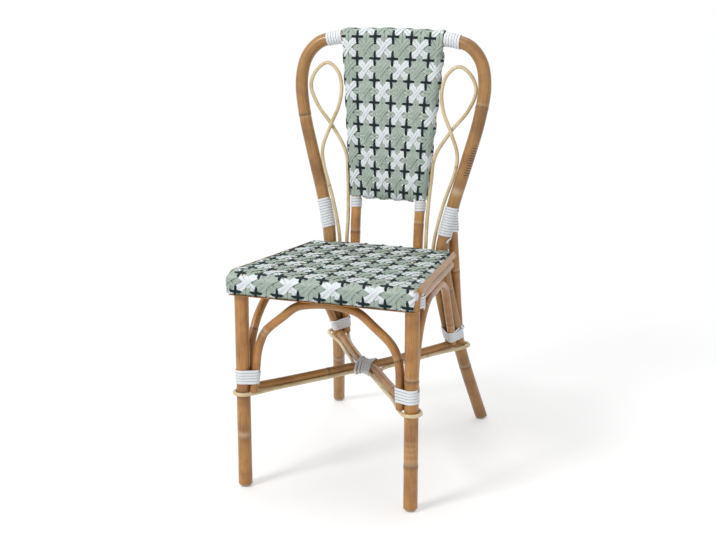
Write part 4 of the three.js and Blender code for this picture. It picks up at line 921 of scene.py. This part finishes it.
for side, sign in (("right", 1), ("left", -1)):
    def own(points):
        return points if sign > 0 else mirrored(points)

    def whole(pole):
        return part({**pole, "points": own(pole["points"])})

    def half(pole, low=-100, high=1000):
        return part(pole, lambda p: p[0] * sign > 0 and low < p[2] < high)

    def upright(x, y, radius):
        return np.array(own([(x, y, z) for z in legTop["span"]])), radius

    # the rear half of the leg's top, as a row of thin rounds, and the seat frame's corner beside it
    corner = [upright(legTop["place"][0] + legTop["reach"] * math.cos(t),
                      legTop["place"][1] + legTop["reach"] * math.sin(t), legTop["round"])
              for t in np.linspace(-legTop["past"], math.pi + legTop["past"], legTop["rounds"])]
    corner.append(upright(*legTop["beside"]))
    arch = whole(pairedPoles["side_arch"])
    lashed = {
        "front": ([whole(frontLeg), half(singlePoles["front_arch"]), arch],
                  (182, -271.5, 224.8), (0, 0, 1), 5),
        "rear": ([half(hoopPole, high=700), arch, half(singlePoles["rear_arch"]), whole(postFoot)],
                 (147.2, 187.4, 224.5), (-0.055, -0.22, 1), 5, 4.6),
        "upper": ([half(hoopPole, high=700), whole(postHead)], (135.8, 103.7, 480), (16.9, 8, 72.2), 11),
        "top": ([half(hoopPole, low=850)], (117.5, 148, 906.6), (1, -0.02, -0.14), 6, 0),
        "panel": ([whole(pairedPoles["panel_upright"])], (74.9, 115.1, 528), (0.02, 0.14, 1), 4),
        "corner": (corner, (182, -262, 418), (0, 0, 1), 5),
    }
    for place, (members, origin, axis, *turns) in lashed.items():
        windStrand(f"binding_{place}_{side}", members, *own([origin, axis]), *turns,
                   tail=looseEnd if (place, side) == ("upper", "right") else ())

middle = [part(singlePoles[f"{end}_stretcher"], lambda p: abs(p[0]) < 40) for end in ("front", "rear")]
middle += [part({"radius": ringCane["radius"], "points": acrossChair(points)}) for points in (
    [(-17.2, -54.5, 202.1), (-8, -46.8, 202), (0, -44.1, 202)],
    [(-26.7, 27.5, 202.2), (-12.8, 8, 202.1), (-5.5, 1.7, 202), (0, -0.4, 202)])]
windStrand("binding_centre", middle, (-20.6, -22.2, 215), (1, 0, 0), 6)
print("lashings wound")


def flatTrim(name, node, points, outs, width, thickness):
    # a split rattan strip, drawn as a low band with rounded edges
    run = smoothRun(points)
    along = lengthsAlong(run)
    marks = lengthsAlong(np.array(points, float))
    facing = np.transpose([np.interp(along / along[-1], marks / marks[-1], axis)
                           for axis in np.transpose(outs)])
    bands = Bands()
    bands.add(run, facing, width, thickness)
    piece = bands.finish(name, [node], "light_cane", [rattan])
    markGrain(piece, run, along, {})


trim = {"width": 13, "thickness": 2.4, "frontWidth": 22, "frontThickness": 1.8,
        "frontHalf": 198, "frontY": -287.5, "frontZ": 422.4}
for side, sign in (("right", 1), ("left", -1)):
    def edge(y, inwards, drop):
        return (sign * (seatHalf(y, sign) - inwards), y, seatTop(y) - drop)
    points = [edge(y, 1.5, 7) for y in (77, 30, -60, -150, -240, -268)]
    outs = [(sign * 0.84, 0.1, 0.54)] * len(points)
    if side == "right":  # its end turns down round the corner, the left one's down the side
        points += [edge(-280, 2, 9.5), edge(-288, 3, 16.5), edge(-292.5, 3.5, 27), edge(-294.5, 3.5, 46)]
        outs += [(0.87, -0.1, 0.48), (0.87, -0.32, 0.36), (0.8, -0.55, 0.2), (0.74, -0.67, 0)]
    else:
        points += [edge(-278, 2, 10), edge(-283, 3.5, 18), edge(-285.5, 4, 29), edge(-286, 4, 46)]
        outs += [(-0.88, -0.15, 0.45), (-0.93, -0.2, 0.3)] + [(-0.96, -0.28, 0)] * 2
    flatTrim(f"side_trim_{side}", f"trim_{side}", points, outs, trim["width"], trim["thickness"])
flatTrim("front_trim", "trim_front",
         [(x, trim["frontY"], trim["frontZ"]) for x in (-trim["frontHalf"], 0, trim["frontHalf"])],
         [(0, 0, -1)] * 3, trim["frontWidth"], trim["frontThickness"])
print("trims laid")


glide = {"radius": 10.5, "height": 5, "edge": 0.9, "recess": 3.5, "recessDepth": 1.8, "sides": 40}
feet = {"front_right": (182, -271.5), "front_left": (-182, -271.5),
        "rear_right": (182.1, 283.4), "rear_left": (-182.1, 283.4)}


def turnGlide():
    # a disc with its upper and lower rims rounded and a recess under it for the nail's head
    deselectAll()
    bpy.ops.mesh.primitive_cylinder_add(
        vertices=glide["sides"], radius=glide["radius"] * mm, depth=glide["height"] * mm,
        location=(0, 0, glide["height"] / 2 * mm))
    bpy.ops.object.transform_apply(location=True)
    disc = bpy.context.object
    enter("EDIT")
    bpy.ops.mesh.select_all(action="DESELECT")
    enter("OBJECT")
    for face in disc.data.polygons:
        face.select = face.normal.z < -0.9
    enter("EDIT")
    bpy.ops.mesh.select_mode(type="FACE")
    bpy.ops.mesh.inset(thickness=(glide["radius"] - glide["recess"]) * mm)
    bpy.ops.mesh.extrude_region_move(TRANSFORM_OT_translate={"value": (0, 0, glide["recessDepth"] * mm)})
    enter("OBJECT")
    soften = disc.modifiers.new("rim", "BEVEL")
    soften.width = glide["edge"] * mm
    soften.segments = 3
    soften.limit_method = "ANGLE"
    bpy.ops.object.modifier_apply(modifier=soften.name)
    bpy.ops.object.shade_smooth_by_angle(angle=math.radians(40))
    return disc


pattern = turnGlide()
for foot, (x, y) in feet.items():
    disc = pattern.copy()
    disc.data = pattern.data.copy()
    disc.name = f"foot_glide_{foot}"
    bpy.context.scene.collection.objects.link(disc)
    for vertex in disc.data.vertices:
        vertex.co += Vector((x * mm, y * mm, 0))
    handOver(disc, [f"glide_{foot}"], glidePlastic)
bpy.data.objects.remove(pattern)
print("glides turned")

# the nails stay the frame's own solids, in wire
for name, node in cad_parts.items():
    if "nail" in name:
        node.data.materials.clear()
        node.data.materials.append(nailWire)


def seenRays(tree):
    # 1 where a ray is looked along, straight or by a reflection, and 0 where it only carries light
    ray = addNode(tree, "LightPath")
    seen = ray.outputs["Is Camera Ray"]
    for other in ("Is Glossy Ray", "Is Transmission Ray"):
        seen = addNode(tree, "Math", {"operation": "MAXIMUM"}, {0: seen, 1: ray.outputs[other]})
    return seen


def aim(thing, spot):
    thing.rotation_euler = (Vector(spot) - thing.location).to_track_quat("-Z", "Y").to_euler()


deselectAll()
bpy.ops.mesh.primitive_plane_add(size=60, location=(0, 0, 0))
floor = bpy.context.object
floor.name = "studio_floor"
# white floor paint: matt, takes the shadows by the chair and passes into white paper further out;
# its glow is only for looking at and lights nothing
floorPaint, tree, shader = newMaterial("whiteFloorPaint", 0.9, Specular_IOR_Level=0.1,
                                       Base_Color=linear("#fafafa"))
place = addNode(tree, "TexCoord")
away = addNode(tree, "VectorMath", {"operation": "LENGTH"}, {0: place.outputs["Object"]})
fade = addNode(tree, "MapRange", {"From Min": 0.5, "From Max": 1.5, "To Min": 0.28, "To Max": 1},
               {"Value": away.outputs["Value"]})
share = addNode(tree, "Math", {"operation": "MULTIPLY"}, {0: fade, 1: seenRays(tree)})
paper = addNode(tree, "Emission", {"Strength": 1.0})
haze = addNode(tree, "Math", {"operation": "MULTIPLY", 1: 0.15}, {0: seenRays(tree)})
glow = addNode(tree, "Emission", {}, {"Strength": haze})
lifted = addNode(tree, "AddShader", {}, {0: shader, 1: glow})
mixed = addNode(tree, "MixShader", {}, {0: share, 1: lifted, 2: paper})
connect(tree, tree.nodes["Material Output"], {"Surface": mixed})
floor.data.materials.append(floorPaint)

world = bpy.data.worlds.new("studio")
bpy.context.scene.world = world
world.use_nodes = True
tree = world.node_tree
light = tree.nodes["Background"]
light.inputs["Color"].default_value = linear("#ffffff")
light.inputs["Strength"].default_value = 0.46
backdrop = addNode(tree, "Background", {"Color": linear("#ffffff"), "Strength": 1.0})
mixed = addNode(tree, "MixShader", {}, {0: seenRays(tree), 1: light, 2: backdrop})
connect(tree, tree.nodes["World Output"], {"Surface": mixed})

lamps = {
    "window": {"place": (-2.0, -3.45, 3.5), "size": 1.2, "power": 124},
    "fill": {"place": (2.4, -1.6, 1.5), "size": 2.2, "power": 8},
    "top": {"place": (-0.5, 0.6, 4.5), "size": 3.2, "power": 64},
}
for name, lamp in lamps.items():
    deselectAll()
    bpy.ops.object.light_add(type="AREA", location=lamp["place"])
    bulb = bpy.context.object
    bulb.name = name
    bulb.data.size = lamp["size"]
    bulb.data.energy = lamp["power"]
    aim(bulb, (0, 0, 0.4))

# the camera's place and lens were solved from the chair's own lines
bpy.ops.object.camera_add(location=(0.8945, -2.5411, 1.1049))
camera = bpy.context.object
aim(camera, (0, -0.0792, 0.4381))
camera.data.sensor_width = 36
camera.data.lens = 64.26
bpy.context.scene.camera = camera
bpy.context.scene.view_settings.view_transform = "Standard"
print("stage set")
